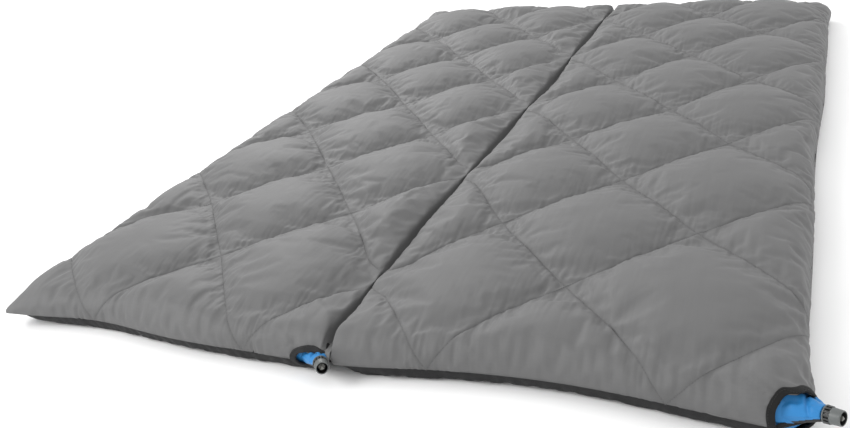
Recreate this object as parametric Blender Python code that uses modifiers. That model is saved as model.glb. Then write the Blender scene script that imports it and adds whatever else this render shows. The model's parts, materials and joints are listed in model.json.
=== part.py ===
# Camp quilt: a double down top that is fitted over two foam-core sleeping pads.
# The right half folds over the left half, and each pad has a twist valve at its front right corner.
import math

import bmesh
import bpy
from mathutils import Matrix, Vector

# Driving dimensions, metres. X is the width, Y the length, the valves are at the -Y end.
pad_length = 2.010
pad_width = 0.628
pad_height = 0.064
pad_corner_radius = 0.050
pad_wall = 0.0008
seam_to_pad = 0.0060        # from the centre seam to each pad's side
clearance = 0.0004          # between pieces that touch

diamond_width = 0.318       # of one quilted diamond, across
diamond_length = 0.405      # of one quilted diamond, along the bed
puff_height = 0.030         # of a diamond's middle above its stitching
stitch_rise = 0.0030        # of the stitching above the hem's offset from the pad
edge_puff_share = 0.40      # how much of the puff is left at the pad's outer edge
edge_fade = 0.090           # distance over which the puff comes back
seam_fade = 0.045           # the same, beside the centre seam

shell_thickness = 0.0010
lining_thickness = 0.0006
skirt_thickness = 0.0008
hem_offset = 0.0040         # the outer shell's lower edge, out from the pad
elastic_radius = 0.0016
elastic_angle = -58.0       # degrees round the pad's side, below its middle
seam_tape_width = 0.0024
seam_tape_height = 0.0120
front_tab_width = 0.010
front_tab_height = 0.022
front_tab_thickness = 0.0020

opening_radius = 0.0310     # of the cut-out round each valve
opening_back = 0.018        # where the cut-out starts, from the corner's arc centre
binding_radius = 0.0022
valve_reach = 0.074         # from the corner's arc centre to the tongue's end
tongue_root = 0.030         # where the tongue starts inside the pad
tongue_to_opening = 0.0090  # the tongue at its root is this much narrower than the cut-out
tongue_tip_radius = 0.0106
tongue_wall = 0.0030
bore_overlap = 0.010        # how far the tongue's bore starts inside the pad
bore_past_tip = 0.005
valve_bore_radius = 0.0040
neck_radius = 0.0078
neck_length = 0.016
flange_thickness = 0.0030
flange_radius = 0.0108
thread_gap = 0.0012         # between the stem and the knob
stem_length = 0.0120
post_radius = 0.0046
post_length = 0.0130
tip_radius = 0.0049         # of the three-sided tip, at its corners
tip_length = 0.0050
tip_taper = 0.7             # the tip's end, as a share of its root
post_segments = 16
join_overlap = 0.0020       # between the stem, the post and the tip, which are one moulding
knob_length = 0.0310
knob_grip_length = 0.0110
knob_grip_radius = 0.0113
knob_barrel_radius = 0.0102
knob_mouth_radius = 0.0094  # outside, at the mouth
knob_bore_radius = 0.0078
knob_slots = 12
knob_slot_width = 0.0016
knob_slot_depth = 0.0014
seal_gap = 0.0006           # between the seal and the post or the knob
round_segments = 24

# Where each pad's valve points: degrees from +X, and degrees up.
valve_heading = {"left": -52.0, "right": -28.0}
valve_tilt = {"left": 10.0, "right": 10.0}
valve_drop = {"left": 0.010, "right": 0.0}       # of the valve's axis below the corner's arc centre
opening_lift = {"left": 0.0060, "right": 0.0010}  # of the cut-out's axis above the valve's

side_radius = pad_height / 2
half_length = pad_length / 2
lattice_x = diamond_width / 2
lattice_y = diamond_length / 2
tongue_root_radius = opening_radius - tongue_to_opening
stem_radius = knob_bore_radius - thread_gap
seal_radius = (knob_bore_radius - post_radius) / 2 - seal_gap
side_sign = {"left": -1, "right": 1}
valve_tip = valve_reach + flange_thickness + knob_length + 3 * clearance


def along_valve(side):
    """Unit direction in which a side's valve points."""
    heading = math.radians(valve_heading[side])
    tilt = math.radians(valve_tilt[side])
    level = math.cos(tilt)
    return Vector((level * math.cos(heading), level * math.sin(heading), math.sin(tilt)))


def corner_centre(side):
    """Arc centre of the front right corner of a side's pad, measured from the seam's middle."""
    outer_edge = seam_to_pad + pad_width if side == "right" else -seam_to_pad
    return Vector((outer_edge - pad_corner_radius, pad_corner_radius - half_length, side_radius))


def valve_extent(side, axis):
    """Furthest place that a side's valve reaches along X (0) or Y (1)."""
    direction = along_valve(side)
    across = math.sqrt(1 - direction[axis] ** 2)
    sign = 1 if direction[axis] > 0 else -1
    return corner_centre(side)[axis] + direction[axis] * valve_tip + sign * knob_mouth_radius * across


# The frame's origin is under the middle of the whole box, valves included.
cover_half_width = seam_to_pad + pad_width + hem_offset
cover_half_length = half_length + hem_offset
centre = Vector((
    -(valve_extent("right", 0) - cover_half_width) / 2,
    -(valve_extent("left", 1) + cover_half_length) / 2,
    0.0))


def clear_scene():
    for item in list(bpy.data.objects):
        bpy.data.objects.remove(item, do_unlink=True)


def make_material(name, color, roughness, metallic=0.0):
    material = bpy.data.materials.new(name)
    material.use_nodes = True
    shader = material.node_tree.nodes["Principled BSDF"]
    shader.inputs["Base Color"].default_value = (*color, 1.0)
    shader.inputs["Roughness"].default_value = roughness
    shader.inputs["Metallic"].default_value = metallic
    material.diffuse_color = (*color, 1.0)
    return material


def make_object(name, mesh, collection, material=None):
    item = bpy.data.objects.new(name, mesh)
    collection.objects.link(item)
    if material:
        mesh.materials.append(material)
    return item


def finish_mesh(name, bm, collection, material=None):
    # Split before the faces are turned outwards, so that layers on one grid split alike.
    bmesh.ops.triangulate(bm, faces=bm.faces, quad_method="FIXED")
    bmesh.ops.recalc_face_normals(bm, faces=bm.faces)
    mesh = bpy.data.meshes.new(name)
    bm.to_mesh(mesh)
    bm.free()
    return make_object(name, mesh, collection, material)


def cutter_object(name, bm, cutters):
    item = finish_mesh(name, bm, cutters)
    item.hide_render = True
    item.display_type = "WIRE"
    return item


def combine(item, cutter, operation):
    modifier = item.modifiers.new(cutter.name, "BOOLEAN")
    modifier.operation = operation
    modifier.object = cutter


# Stations round a pad's side: the pad's corners, and for quilted layers the lattice between them.
def stations_between(low, high, step, first):
    """Places from low to high, with every multiple of step from first that falls well inside."""
    places = [low]
    count = int((high - first) / step) + 1
    for index in range(count):
        place = first + index * step
        if low + 0.4 * step < place < high - 0.4 * step:
            places.append(place)
    places.append(high)
    return places


def grid_lines():
    """Distances from the seam, and along Y, of a half's grid lines."""
    near = seam_to_pad + side_radius
    far = seam_to_pad + pad_width - side_radius
    arc = pad_corner_radius - side_radius
    columns = stations_between(near + arc, far - arc, lattice_x / 2, 0.0)
    ends = half_length - side_radius
    rows = stations_between(arc - ends, ends - arc, lattice_y / 2, -5 * lattice_y)
    return [near] + columns + [far], [-ends] + rows + [ends]


def grid_point(columns, rows, i, j):
    """Plan place of a grid corner. The four outer corners are pulled in onto the corner's arc."""
    u, v = columns[i], rows[j]
    pull = (pad_corner_radius - side_radius) * (1 - math.sqrt(0.5))
    at_side = i in (0, len(columns) - 1)
    at_end = j in (0, len(rows) - 1)
    if at_side and at_end:
        u += pull if i == 0 else -pull
        v += pull if j == 0 else -pull
    return u, v


def boundary_indices(columns, rows):
    """Grid corners round the edge in order, each with its outward direction in (u, v)."""
    last_i, last_j = len(columns) - 1, len(rows) - 1
    loop = [(i, 0) for i in range(last_i)]
    loop += [(last_i, j) for j in range(last_j)]
    loop += [(i, last_j) for i in range(last_i, 0, -1)]
    loop += [(0, j) for j in range(last_j, 0, -1)]
    result = []
    for i, j in loop:
        across = {0: -1, last_i: 1}.get(i, 0)
        along = {0: -1, last_j: 1}.get(j, 0)
        result.append((i, j, Vector((across, along, 0)).normalized()))
    return result


def puff(u, v):
    """Height of the quilted surface above its stitching, at u from the seam and v along Y."""
    across, along = u / lattice_x, v / lattice_y
    first, second = (across + along) / 2, (along - across) / 2
    diamond = abs(math.sin(math.pi * first) * math.sin(math.pi * second)) ** 0.75
    outer_gap = min(seam_to_pad + pad_width - u, half_length - abs(v)) - side_radius
    outer = edge_puff_share + (1 - edge_puff_share) * min(1, max(0, outer_gap) / edge_fade)
    inner = min(1, 0.35 + 0.65 * max(0, u - seam_to_pad - side_radius) / seam_fade)
    return puff_height * diamond * outer * inner


def taper(angle):
    """Share of the quilt's loft that is left at an angle round the pad's side."""
    return {90.0: 1.0, 67.5: 0.85, 45.0: 0.5}.get(angle, 0.0)


def quilted(depth):
    """Offset from the pad of the quilted surface, less a depth into it."""
    return lambda u, v, angle: hem_offset - depth + (stitch_rise + puff(u, v)) * taper(angle)


def plain(distance):
    return lambda u, v, angle: distance


def add_skin(bm, side, offset, angles, gridded):
    """One skin round a pad at an offset from it: rings down its side, closed on top or bottom."""
    sign = side_sign[side]
    columns, rows = grid_lines()
    if not gridded:
        columns = columns[:2] + columns[-2:]
        rows = rows[:2] + rows[-2:]
    loop = boundary_indices(columns, rows)

    def vertex(u, v, angle, outward):
        turn = math.radians(angle)
        reach = side_radius + offset(u, v, angle)
        place = Vector((u, v, side_radius)) + outward * reach * math.cos(turn)
        place.z += reach * math.sin(turn)
        return bm.verts.new((centre.x + sign * place.x, centre.y + place.y, place.z))

    rings = []
    for angle in angles:
        ring = []
        for i, j, outward in loop:
            u, v = grid_point(columns, rows, i, j)
            ring.append(vertex(u, v, angle, outward))
        rings.append(ring)
    for upper, lower in zip(rings, rings[1:]):
        for k in range(len(loop)):
            after = (k + 1) % len(loop)
            bm.faces.new((upper[k], upper[after], lower[after], lower[k]))
    if gridded:
        table = {(i, j): rings[0][k] for k, (i, j, _) in enumerate(loop)}
        for i in range(1, len(columns) - 1):
            for j in range(1, len(rows) - 1):
                table[i, j] = vertex(columns[i], rows[j], 90.0, Vector())
        for i in range(len(columns) - 1):
            for j in range(len(rows) - 1):
                bm.faces.new((table[i, j], table[i + 1, j], table[i + 1, j + 1], table[i, j + 1]))
    elif angles[0] == 90.0:
        bm.faces.new(rings[0])
    if angles[-1] == -90.0:
        bm.faces.new(rings[-1])
    return rings


def layer(name, side, outer, inner, angles, gridded, collection, material):
    """A closed layer between two skins, with a rim at each open edge."""
    bm = bmesh.new()
    outer_rings = add_skin(bm, side, outer, angles, gridded)
    inner_rings = add_skin(bm, side, inner, angles, gridded)
    rims = [-1] if angles[0] == 90.0 else [0, -1]
    for rim in rims:
        over, under = outer_rings[rim], inner_rings[rim]
        for k in range(len(over)):
            after = (k + 1) % len(over)
            bm.faces.new((over[k], over[after], under[after], under[k]))
    return finish_mesh(name, bm, collection, material)


angle_step = 22.5
all_angles = [90.0 - angle_step * k for k in range(9)]
hem_angle = 22.5
cover_angles = [angle for angle in all_angles if angle >= hem_angle]
skirt_angles = [angle for angle in all_angles if -45.0 <= angle <= hem_angle]


def valve_frame(side, distance):
    """Matrix whose +Z runs along a side's valve, at a distance from the corner's arc centre."""
    direction = along_valve(side)
    origin = centre + corner_centre(side) + direction * distance
    origin.z -= valve_drop[side]
    return Matrix.Translation(origin) @ direction.to_track_quat("Z", "Y").to_matrix().to_4x4()


def add_cone(bm, matrix, start, end, start_radius, end_radius, segments=round_segments):
    """A closed cone or cylinder between two distances along a valve's axis."""
    middle = Matrix.Translation((0, 0, (start + end) / 2))
    bmesh.ops.create_cone(bm, cap_ends=True, segments=segments, radius1=start_radius,
                          radius2=end_radius, depth=end - start, matrix=matrix @ middle)


def turned(name, profile, matrix, collection, material, segments=round_segments):
    """A closed profile of (radius, height) points, turned about the valve's axis."""
    mesh = bpy.data.meshes.new(name)
    points = [(radius, 0, height) for radius, height in profile]
    edges = [(k, (k + 1) % len(points)) for k in range(len(points))]
    mesh.from_pydata(points, edges, [])
    item = make_object(name, mesh, collection, material)
    item.matrix_world = matrix
    screw = item.modifiers.new("turn", "SCREW")
    screw.steps = segments
    screw.render_steps = segments
    screw.use_merge_vertices = True
    screw.merge_threshold = 0.00001
    return item


def tube(name, points, radius, collection, material, resolution=1):
    """A round tube along a closed run of points."""
    curve = bpy.data.curves.new(name, "CURVE")
    curve.dimensions = "3D"
    curve.bevel_depth = radius
    curve.bevel_resolution = resolution
    spline = curve.splines.new("POLY")
    spline.points.add(len(points) - 1)
    for target, point in zip(spline.points, points):
        target.co = (*point, 1.0)
    spline.use_cyclic_u = True
    return make_object(name, curve, collection, material)


def make_pad(side, collection, cutters, materials):
    """The pad's foam core, and its airtight skin drawn out into a tongue at the valve's corner."""
    frame = valve_frame(side, 0.0)
    bm = bmesh.new()
    add_skin(bm, side, plain(0.0), all_angles, False)
    skin = finish_mesh(f"{side}_pad_skin", bm, collection, materials["pad"])

    bm = bmesh.new()
    add_cone(bm, frame, tongue_root, valve_reach, tongue_root_radius, tongue_tip_radius)
    combine(skin, cutter_object(f"{side}_tongue", bm, cutters), "UNION")

    bm = bmesh.new()
    add_skin(bm, side, plain(-pad_wall), all_angles, False)
    combine(skin, cutter_object(f"{side}_hollow", bm, cutters), "DIFFERENCE")

    # The tongue's bore narrows with the tongue, and then is straight round the valve's neck.
    slope = (tongue_root_radius - tongue_tip_radius) / (valve_reach - tongue_root)
    bore_start = tongue_root - bore_overlap
    wide = tongue_root_radius - tongue_wall + slope * (tongue_root - bore_start)
    straight = neck_radius + clearance
    bore_end = valve_reach + bore_past_tip
    neck_start = valve_reach - neck_length - clearance
    narrow = tongue_tip_radius - tongue_wall + slope * (valve_reach - neck_start)
    bore = turned(f"{side}_tongue_bore", [
        (0.0, bore_end), (straight, bore_end), (straight, neck_start),
        (narrow, neck_start), (wide, bore_start), (0.0, bore_start)], frame, cutters, None)
    bore.hide_render = True
    bore.display_type = "WIRE"
    combine(skin, bore, "DIFFERENCE")

    bm = bmesh.new()
    add_skin(bm, side, plain(-pad_wall - clearance), all_angles, False)
    return [skin, finish_mesh(f"{side}_pad_core", bm, collection, materials["foam"])]


def make_cover(side, collection, cutters, materials):
    """Quilted shell, down, lining and skirt of one half, cut open round the valve."""
    lining_outer = clearance + lining_thickness
    pieces = [
        layer(f"{side}_top_shell", side, quilted(0.0), quilted(shell_thickness),
              cover_angles, True, collection, materials["shell"]),
        layer(f"{side}_down_fill", side, quilted(shell_thickness + clearance),
              plain(lining_outer + clearance), cover_angles, True, collection, materials["down"]),
        layer(f"{side}_lining", side, plain(lining_outer), plain(clearance),
              cover_angles, False, collection, materials["lining"])]
    skirt = layer(f"{side}_skirt", side, plain(clearance + skirt_thickness), plain(clearance),
                  skirt_angles, False, collection, materials["skirt"])
    skirt.location.z = -clearance
    pieces.append(skirt)

    bm = bmesh.new()
    lift = Matrix.Translation((0, 0, opening_lift[side]))
    add_cone(bm, lift @ valve_frame(side, 0.0), opening_back, valve_tip, opening_radius,
             opening_radius)
    opening = cutter_object(f"{side}_opening", bm, cutters)
    for piece in pieces:
        combine(piece, opening, "DIFFERENCE")
    return pieces


def outside_cover(side, point):
    """Distance from the pad's surface to a point near the valve's corner."""
    away = point - centre - corner_centre(side)
    direction = along_valve(side)
    level = Vector((max(away.x, 0), min(away.y, 0), 0))
    if level.dot(direction) < 0:
        level = Vector()
    past_core = max(level.length - (pad_corner_radius - side_radius), 0)
    return math.hypot(past_core, away.z) - side_radius


def make_binding(side, collection, materials):
    """Bound edge of the opening: a ring that follows the cover round the pad's corner."""
    frame = Matrix.Translation((0, 0, opening_lift[side])) @ valve_frame(side, 0.0)
    ring_radius = opening_radius - binding_radius - clearance
    stand_off = hem_offset + binding_radius
    count = 2 * round_segments
    points = []
    for k in range(count):
        turn = 2 * math.pi * k / count
        low, high = 0.0, valve_reach
        for _ in range(30):
            middle = (low + high) / 2
            place = Vector((ring_radius * math.cos(turn), ring_radius * math.sin(turn), middle))
            if outside_cover(side, frame @ place) < stand_off:
                low = middle
            else:
                high = middle
        points.append(frame @ place)
    return tube(f"{side}_valve_binding", points, binding_radius, collection, materials["binding"])


def make_elastic(side, collection, materials):
    """Elastic cord in the skirt's hem, a closed loop under the pad's rounded edge."""
    columns, rows = grid_lines()
    columns = columns[:2] + columns[-2:]
    rows = rows[:2] + rows[-2:]
    reach = side_radius + elastic_radius + clearance
    turn = math.radians(elastic_angle)
    points = []
    for i, j, outward in boundary_indices(columns, rows):
        u, v = grid_point(columns, rows, i, j)
        place = Vector((u, v, 0)) + outward * reach * math.cos(turn)
        points.append((centre.x + side_sign[side] * place.x, centre.y + place.y,
                       side_radius + reach * math.sin(turn)))
    return tube(f"{side}_hem_elastic", points, elastic_radius, collection, materials["elastic"])


def make_valve(side, collection, cutters, materials):
    """Valve base, stem, seal and twist knob, along the valve's axis."""
    base_frame = valve_frame(side, valve_reach + clearance)
    base = turned(f"{side}_valve_base", [
        (flange_radius, flange_thickness), (flange_radius, 0.0), (neck_radius, 0.0),
        (neck_radius, -neck_length), (valve_bore_radius, -neck_length),
        (valve_bore_radius, flange_thickness)], base_frame, collection, materials["valve_black"])

    stem_frame = valve_frame(side, valve_reach + flange_thickness + 2 * clearance)
    bm = bmesh.new()
    add_cone(bm, Matrix(), 0.0, stem_length, stem_radius, stem_radius)
    stem = finish_mesh(f"{side}_valve_stem", bm, collection, materials["valve_black"])
    stem.matrix_world = stem_frame
    bm = bmesh.new()
    add_cone(bm, stem_frame, stem_length - join_overlap, stem_length + post_length,
             post_radius, post_radius, post_segments)
    combine(stem, cutter_object(f"{side}_post", bm, cutters), "UNION")
    bm = bmesh.new()
    tip_start = stem_length + post_length
    add_cone(bm, stem_frame, tip_start - join_overlap, tip_start + tip_length,
             tip_radius, tip_radius * tip_taper, 3)
    combine(stem, cutter_object(f"{side}_tip", bm, cutters), "UNION")

    seal_middle = stem_length + post_length / 2
    ring = (post_radius + knob_bore_radius) / 2
    seal_steps = 8
    turns = [2 * math.pi * k / seal_steps for k in range(seal_steps)]
    seal_profile = [(ring + seal_radius * math.cos(turn), seal_middle - seal_radius * math.sin(turn))
                    for turn in turns]
    seal = turned(f"{side}_valve_seal", seal_profile, stem_frame, collection, materials["rubber"])

    shoulder = 0.0012
    knob = turned(f"{side}_valve_knob", [
        (knob_mouth_radius, knob_length), (knob_barrel_radius, knob_grip_length + shoulder),
        (knob_grip_radius, knob_grip_length), (knob_grip_radius, 0.0),
        (knob_bore_radius, 0.0), (knob_bore_radius, knob_length)],
        stem_frame, collection, materials["valve_grey"])
    bm = bmesh.new()
    for k in range(knob_slots):
        turn = Matrix.Rotation(2 * math.pi * k / knob_slots, 4, "Z")
        place = Matrix.Translation((knob_grip_radius, 0, knob_grip_length * 0.55))
        size = Matrix.Diagonal((2 * knob_slot_depth, knob_slot_width, knob_grip_length * 0.6, 1))
        bmesh.ops.create_cube(bm, size=1.0, matrix=stem_frame @ turn @ place @ size)
    combine(knob, cutter_object(f"{side}_knob_slots", bm, cutters), "DIFFERENCE")
    return [base, stem, seal, knob]


def make_seam(collection, materials):
    """Tape in the valley between the halves, and the small webbing tab at its front end."""
    seam_height = side_radius + (side_radius + hem_offset) * math.sin(math.radians(hem_angle))
    inset = pad_corner_radius
    bm = bmesh.new()
    place = Matrix.Translation(centre + Vector((0, 0, seam_height)))
    size = Matrix.Diagonal((seam_tape_width, pad_length - 2 * inset, seam_tape_height, 1))
    bmesh.ops.create_cube(bm, size=1.0, matrix=place @ size)
    tape = finish_mesh("centre_seam_tape", bm, collection, materials["skirt"])

    bm = bmesh.new()
    tab_y = inset - half_length - front_tab_width / 2 - clearance
    place = Matrix.Translation(centre + Vector((0, tab_y, seam_height)))
    size = Matrix.Diagonal((front_tab_thickness, front_tab_width, front_tab_height, 1))
    bmesh.ops.create_cube(bm, size=1.0, matrix=place @ size)
    return [tape, finish_mesh("front_seam_tab", bm, collection, materials["tab"])]


def build():
    clear_scene()
    collection = bpy.data.collections.new("camp_quilt")
    cutters = bpy.data.collections.new("cutters")
    bpy.context.scene.collection.children.link(collection)
    bpy.context.scene.collection.children.link(cutters)
    materials = {
        "shell": make_material("shell_grey", (0.20, 0.20, 0.20), 0.62),
        "down": make_material("down_white", (0.80, 0.79, 0.76), 0.95),
        "lining": make_material("lining_grey", (0.14, 0.14, 0.145), 0.75),
        "skirt": make_material("skirt_charcoal", (0.035, 0.035, 0.037), 0.80),
        "binding": make_material("binding_black", (0.022, 0.022, 0.023), 0.75),
        "elastic": make_material("elastic_black", (0.020, 0.020, 0.020), 0.85),
        "tab": make_material("tab_grey", (0.22, 0.22, 0.22), 0.70),
        "pad": make_material("pad_blue", (0.045, 0.27, 0.60), 0.50),
        "foam": make_material("foam_yellow", (0.78, 0.70, 0.48), 0.95),
        "valve_grey": make_material("valve_grey", (0.16, 0.175, 0.175), 0.45),
        "valve_black": make_material("valve_black", (0.018, 0.018, 0.019), 0.50),
        "rubber": make_material("seal_rubber", (0.012, 0.012, 0.012), 0.70),
    }
    for side in ("left", "right"):
        make_pad(side, collection, cutters, materials)
        make_cover(side, collection, cutters, materials)
        make_elastic(side, collection, materials)
        make_binding(side, collection, materials)
        make_valve(side, collection, cutters, materials)
    make_seam(collection, materials)


build()
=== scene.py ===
# Camp quilt: two quilted down tops sewn together along a centre seam, fitted over two foam pads
# whose twist valves come out at the front right corner of each half.
import json
import math

import bmesh
import bpy
import numpy as np
from mathutils import Matrix, Vector, noise
from mathutils.bvhtree import BVHTree


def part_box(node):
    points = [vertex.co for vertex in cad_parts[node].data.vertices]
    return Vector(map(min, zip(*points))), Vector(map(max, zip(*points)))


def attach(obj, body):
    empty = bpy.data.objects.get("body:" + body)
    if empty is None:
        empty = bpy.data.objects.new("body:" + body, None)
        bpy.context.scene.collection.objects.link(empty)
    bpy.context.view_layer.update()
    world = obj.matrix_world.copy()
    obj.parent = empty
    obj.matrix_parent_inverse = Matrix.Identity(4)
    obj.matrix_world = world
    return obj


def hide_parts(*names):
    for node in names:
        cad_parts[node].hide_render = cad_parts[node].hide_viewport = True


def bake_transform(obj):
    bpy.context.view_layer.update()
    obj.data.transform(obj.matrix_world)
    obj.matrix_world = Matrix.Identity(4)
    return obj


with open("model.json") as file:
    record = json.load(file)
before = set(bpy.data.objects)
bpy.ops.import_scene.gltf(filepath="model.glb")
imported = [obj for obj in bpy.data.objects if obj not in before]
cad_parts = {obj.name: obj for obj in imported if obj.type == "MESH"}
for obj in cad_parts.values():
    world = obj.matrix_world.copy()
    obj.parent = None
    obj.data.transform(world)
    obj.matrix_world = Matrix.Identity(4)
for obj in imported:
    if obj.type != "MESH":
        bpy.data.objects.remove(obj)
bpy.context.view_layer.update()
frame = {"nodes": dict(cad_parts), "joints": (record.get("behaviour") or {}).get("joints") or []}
joints = {joint["name"]: joint for joint in frame["joints"]}
sides = ("left", "right")
sideSign = {"left": -1, "right": 1}


# Places that every piece is measured from, most of them read off the frame
fillLow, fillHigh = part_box("right_down_fill")
tapeLow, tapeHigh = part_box("centre_seam_tape")
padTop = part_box("right_pad_skin")[1][2]
bed = {
    "seamX": (tapeLow[0] + tapeHigh[0]) / 2,
    "middleY": (fillLow[1] + fillHigh[1]) / 2,
    "seamHeight": tapeLow[2],
    "sideRadius": padTop / 2,
    "padCorner": 0.050,
    "latticeX": 0.159,       # from one crossing of the quilting to the next, across and along
    "latticeY": 0.2025,
}
bed["near"] = fillLow[0] - bed["seamX"] + bed["sideRadius"]   # seam to the near side's arc
bed["far"] = fillHigh[0] - bed["seamX"] - bed["sideRadius"]   # seam to the outer side's arc
bed["end"] = (fillHigh[1] - fillLow[1]) / 2 - bed["sideRadius"]
print("frame read", {name: round(value, 4) for name, value in bed.items()})


def valvePlace(side):
    # start of the stem, and the way the valve points
    joint = joints[f"{side}_valve_twist"]
    return Vector(joint["pos_m"]), Vector(joint["axis"]).normalized()


def newObject(name, mesh):
    item = bpy.data.objects.new(name, mesh)
    bpy.context.scene.collection.objects.link(item)
    return item


def meshFrom(name, points, faces, edges=()):
    mesh = bpy.data.meshes.new(name)
    mesh.from_pydata([tuple(point) for point in points], list(edges), [tuple(face) for face in faces])
    mesh.update()
    return mesh


def applied(item):
    # the modifiers made final
    view = bpy.context.evaluated_depsgraph_get()
    mesh = bpy.data.meshes.new_from_object(item.evaluated_get(view))
    old = item.data
    item.modifiers.clear()
    item.data = mesh
    bpy.data.meshes.remove(old)
    return item


def subdivided(item, levels=1):
    smooth = item.modifiers.new("smooth", "SUBSURF")
    smooth.levels = smooth.render_levels = levels


def faceOutwards(mesh):
    bm = bmesh.new()
    bm.from_mesh(mesh)
    bmesh.ops.recalc_face_normals(bm, faces=bm.faces)
    bm.to_mesh(mesh)
    bm.free()


# Shader groups shared by the finishes
def startGroup(name, inputs, outputs):
    tree = bpy.data.node_groups.new(name, "ShaderNodeTree")
    for label, kind, value in inputs:
        socket = tree.interface.new_socket(name=label, in_out="INPUT", socket_type=kind)
        if value is not None:
            socket.default_value = value
    for label, kind in outputs:
        tree.interface.new_socket(name=label, in_out="OUTPUT", socket_type=kind)
    return tree, tree.nodes.new("NodeGroupInput"), tree.nodes.new("NodeGroupOutput")


def mathNode(tree, operation, first, second=None, third=None, clamp=False):
    node = tree.nodes.new("ShaderNodeMath")
    node.operation = operation
    node.use_clamp = clamp
    for place, value in enumerate((first, second, third)):
        if value is None:
            continue
        if isinstance(value, (int, float)):
            node.inputs[place].default_value = value
        else:
            tree.links.new(value, node.inputs[place])
    return node.outputs[0]


def noiseNode(tree, vector, scale, detail=3.0, roughness=0.5):
    node = tree.nodes.new("ShaderNodeTexNoise")
    node.inputs["Detail"].default_value = detail
    node.inputs["Roughness"].default_value = roughness
    tree.links.new(vector, node.inputs["Vector"])
    if isinstance(scale, (int, float)):
        node.inputs["Scale"].default_value = scale
    else:
        tree.links.new(scale, node.inputs["Scale"])
    return node.outputs["Fac"]


def makeWeaveGroup():
    # plain weave with a heavier thread every few millimetres
    tree, source, result = startGroup("clothWeave", [
        ("Vector", "NodeSocketVector", None), ("Threads", "NodeSocketFloat", 1500.0),
        ("Grid", "NodeSocketFloat", 0.005), ("Grid Weight", "NodeSocketFloat", 0.35)],
        [("Height", "NodeSocketFloat"), ("Shade", "NodeSocketFloat")])
    split = tree.nodes.new("ShaderNodeSeparateXYZ")
    tree.links.new(source.outputs["Vector"], split.inputs[0])
    waves, bars = [], []
    for axis in range(2):
        turns = mathNode(tree, "MULTIPLY", split.outputs[axis], source.outputs["Threads"])
        waves.append(mathNode(tree, "SINE", mathNode(tree, "MULTIPLY", turns, math.tau)))
        step = mathNode(tree, "DIVIDE", split.outputs[axis], source.outputs["Grid"])
        centred = mathNode(tree, "SUBTRACT", mathNode(tree, "FRACT", step), 0.5)
        bars.append(mathNode(tree, "GREATER_THAN", mathNode(tree, "ABSOLUTE", centred), 0.44))
    weave = mathNode(tree, "MULTIPLY", waves[0], waves[1])
    bar = mathNode(tree, "MULTIPLY", mathNode(tree, "MAXIMUM", *bars), source.outputs["Grid Weight"])
    height = mathNode(tree, "MULTIPLY_ADD", weave, 0.5, 0.5)
    tree.links.new(mathNode(tree, "ADD", height, bar), result.inputs["Height"])
    shade = mathNode(tree, "MULTIPLY_ADD", weave, 0.06, 1.0)
    tree.links.new(mathNode(tree, "MULTIPLY_ADD", bar, -0.08, shade), result.inputs["Shade"])
    return tree


def makeMottleGroup():
    # broad and fine variation of tone, for fading, handling and uneven dye
    tree, source, result = startGroup("toneMottle", [
        ("Vector", "NodeSocketVector", None), ("Broad Scale", "NodeSocketFloat", 3.0),
        ("Fine Scale", "NodeSocketFloat", 60.0), ("Amount", "NodeSocketFloat", 0.1)],
        [("Tone", "NodeSocketFloat"), ("Mask", "NodeSocketFloat")])
    broad = noiseNode(tree, source.outputs["Vector"], source.outputs["Broad Scale"], 2.0)
    fine = noiseNode(tree, source.outputs["Vector"], source.outputs["Fine Scale"], 4.0, 0.6)
    mixed = mathNode(tree, "MULTIPLY_ADD", fine, 0.4, mathNode(tree, "MULTIPLY", broad, 0.6))
    centred = mathNode(tree, "SUBTRACT", mixed, 0.5)
    tone = mathNode(tree, "MULTIPLY_ADD", centred, source.outputs["Amount"], 1.0)
    tree.links.new(tone, result.inputs["Tone"])
    tree.links.new(mathNode(tree, "MULTIPLY_ADD", centred, 2.0, 0.5, clamp=True), result.inputs["Mask"])
    return tree


def makeGrainGroup():
    # moulded grain with rubbed, slightly paler spots
    tree, source, result = startGroup("mouldGrain", [
        ("Vector", "NodeSocketVector", None), ("Scale", "NodeSocketFloat", 1800.0),
        ("Rub", "NodeSocketFloat", 0.25)],
        [("Height", "NodeSocketFloat"), ("Tone", "NodeSocketFloat"), ("Rubbed", "NodeSocketFloat")])
    grain = noiseNode(tree, source.outputs["Vector"], source.outputs["Scale"], 2.0)
    scuff = noiseNode(tree, source.outputs["Vector"], 140.0, 5.0, 0.65)
    rubbed = mathNode(tree, "MULTIPLY_ADD", scuff, 6.0, -3.2, clamp=True)
    tree.links.new(grain, result.inputs["Height"])
    tree.links.new(rubbed, result.inputs["Rubbed"])
    lift = mathNode(tree, "MULTIPLY", rubbed, source.outputs["Rub"])
    tree.links.new(mathNode(tree, "ADD", lift, 1.0), result.inputs["Tone"])
    return tree


weaveGroup = makeWeaveGroup()
mottleGroup = makeMottleGroup()
grainGroup = makeGrainGroup()


def placeGroup(tree, group, vector, **values):
    node = tree.nodes.new("ShaderNodeGroup")
    node.node_tree = group
    tree.links.new(vector, node.inputs["Vector"])
    for name, value in values.items():
        node.inputs[name.replace("_", " ")].default_value = value
    return node


# The studio is this much brighter than a plain one, so that the floor is near white
brightness = 1.7


def tinted(tree, color, tone):
    # a colour multiplied by a tone that varies over the surface
    node = tree.nodes.new("ShaderNodeVectorMath")
    node.operation = "SCALE"
    if isinstance(color, tuple):
        node.inputs[0].default_value = [part / brightness for part in color]
    else:
        tree.links.new(color, node.inputs[0])
    tree.links.new(tone, node.inputs["Scale"])
    return node.outputs[0]


def startMaterial(name, roughness, **values):
    material = bpy.data.materials.new(name)
    material.use_nodes = True
    tree = material.node_tree
    shader = tree.nodes["Principled BSDF"]
    shader.inputs["Roughness"].default_value = roughness
    for label, value in values.items():
        shader.inputs[label.replace("_", " ")].default_value = value
    return material, tree, shader


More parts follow.
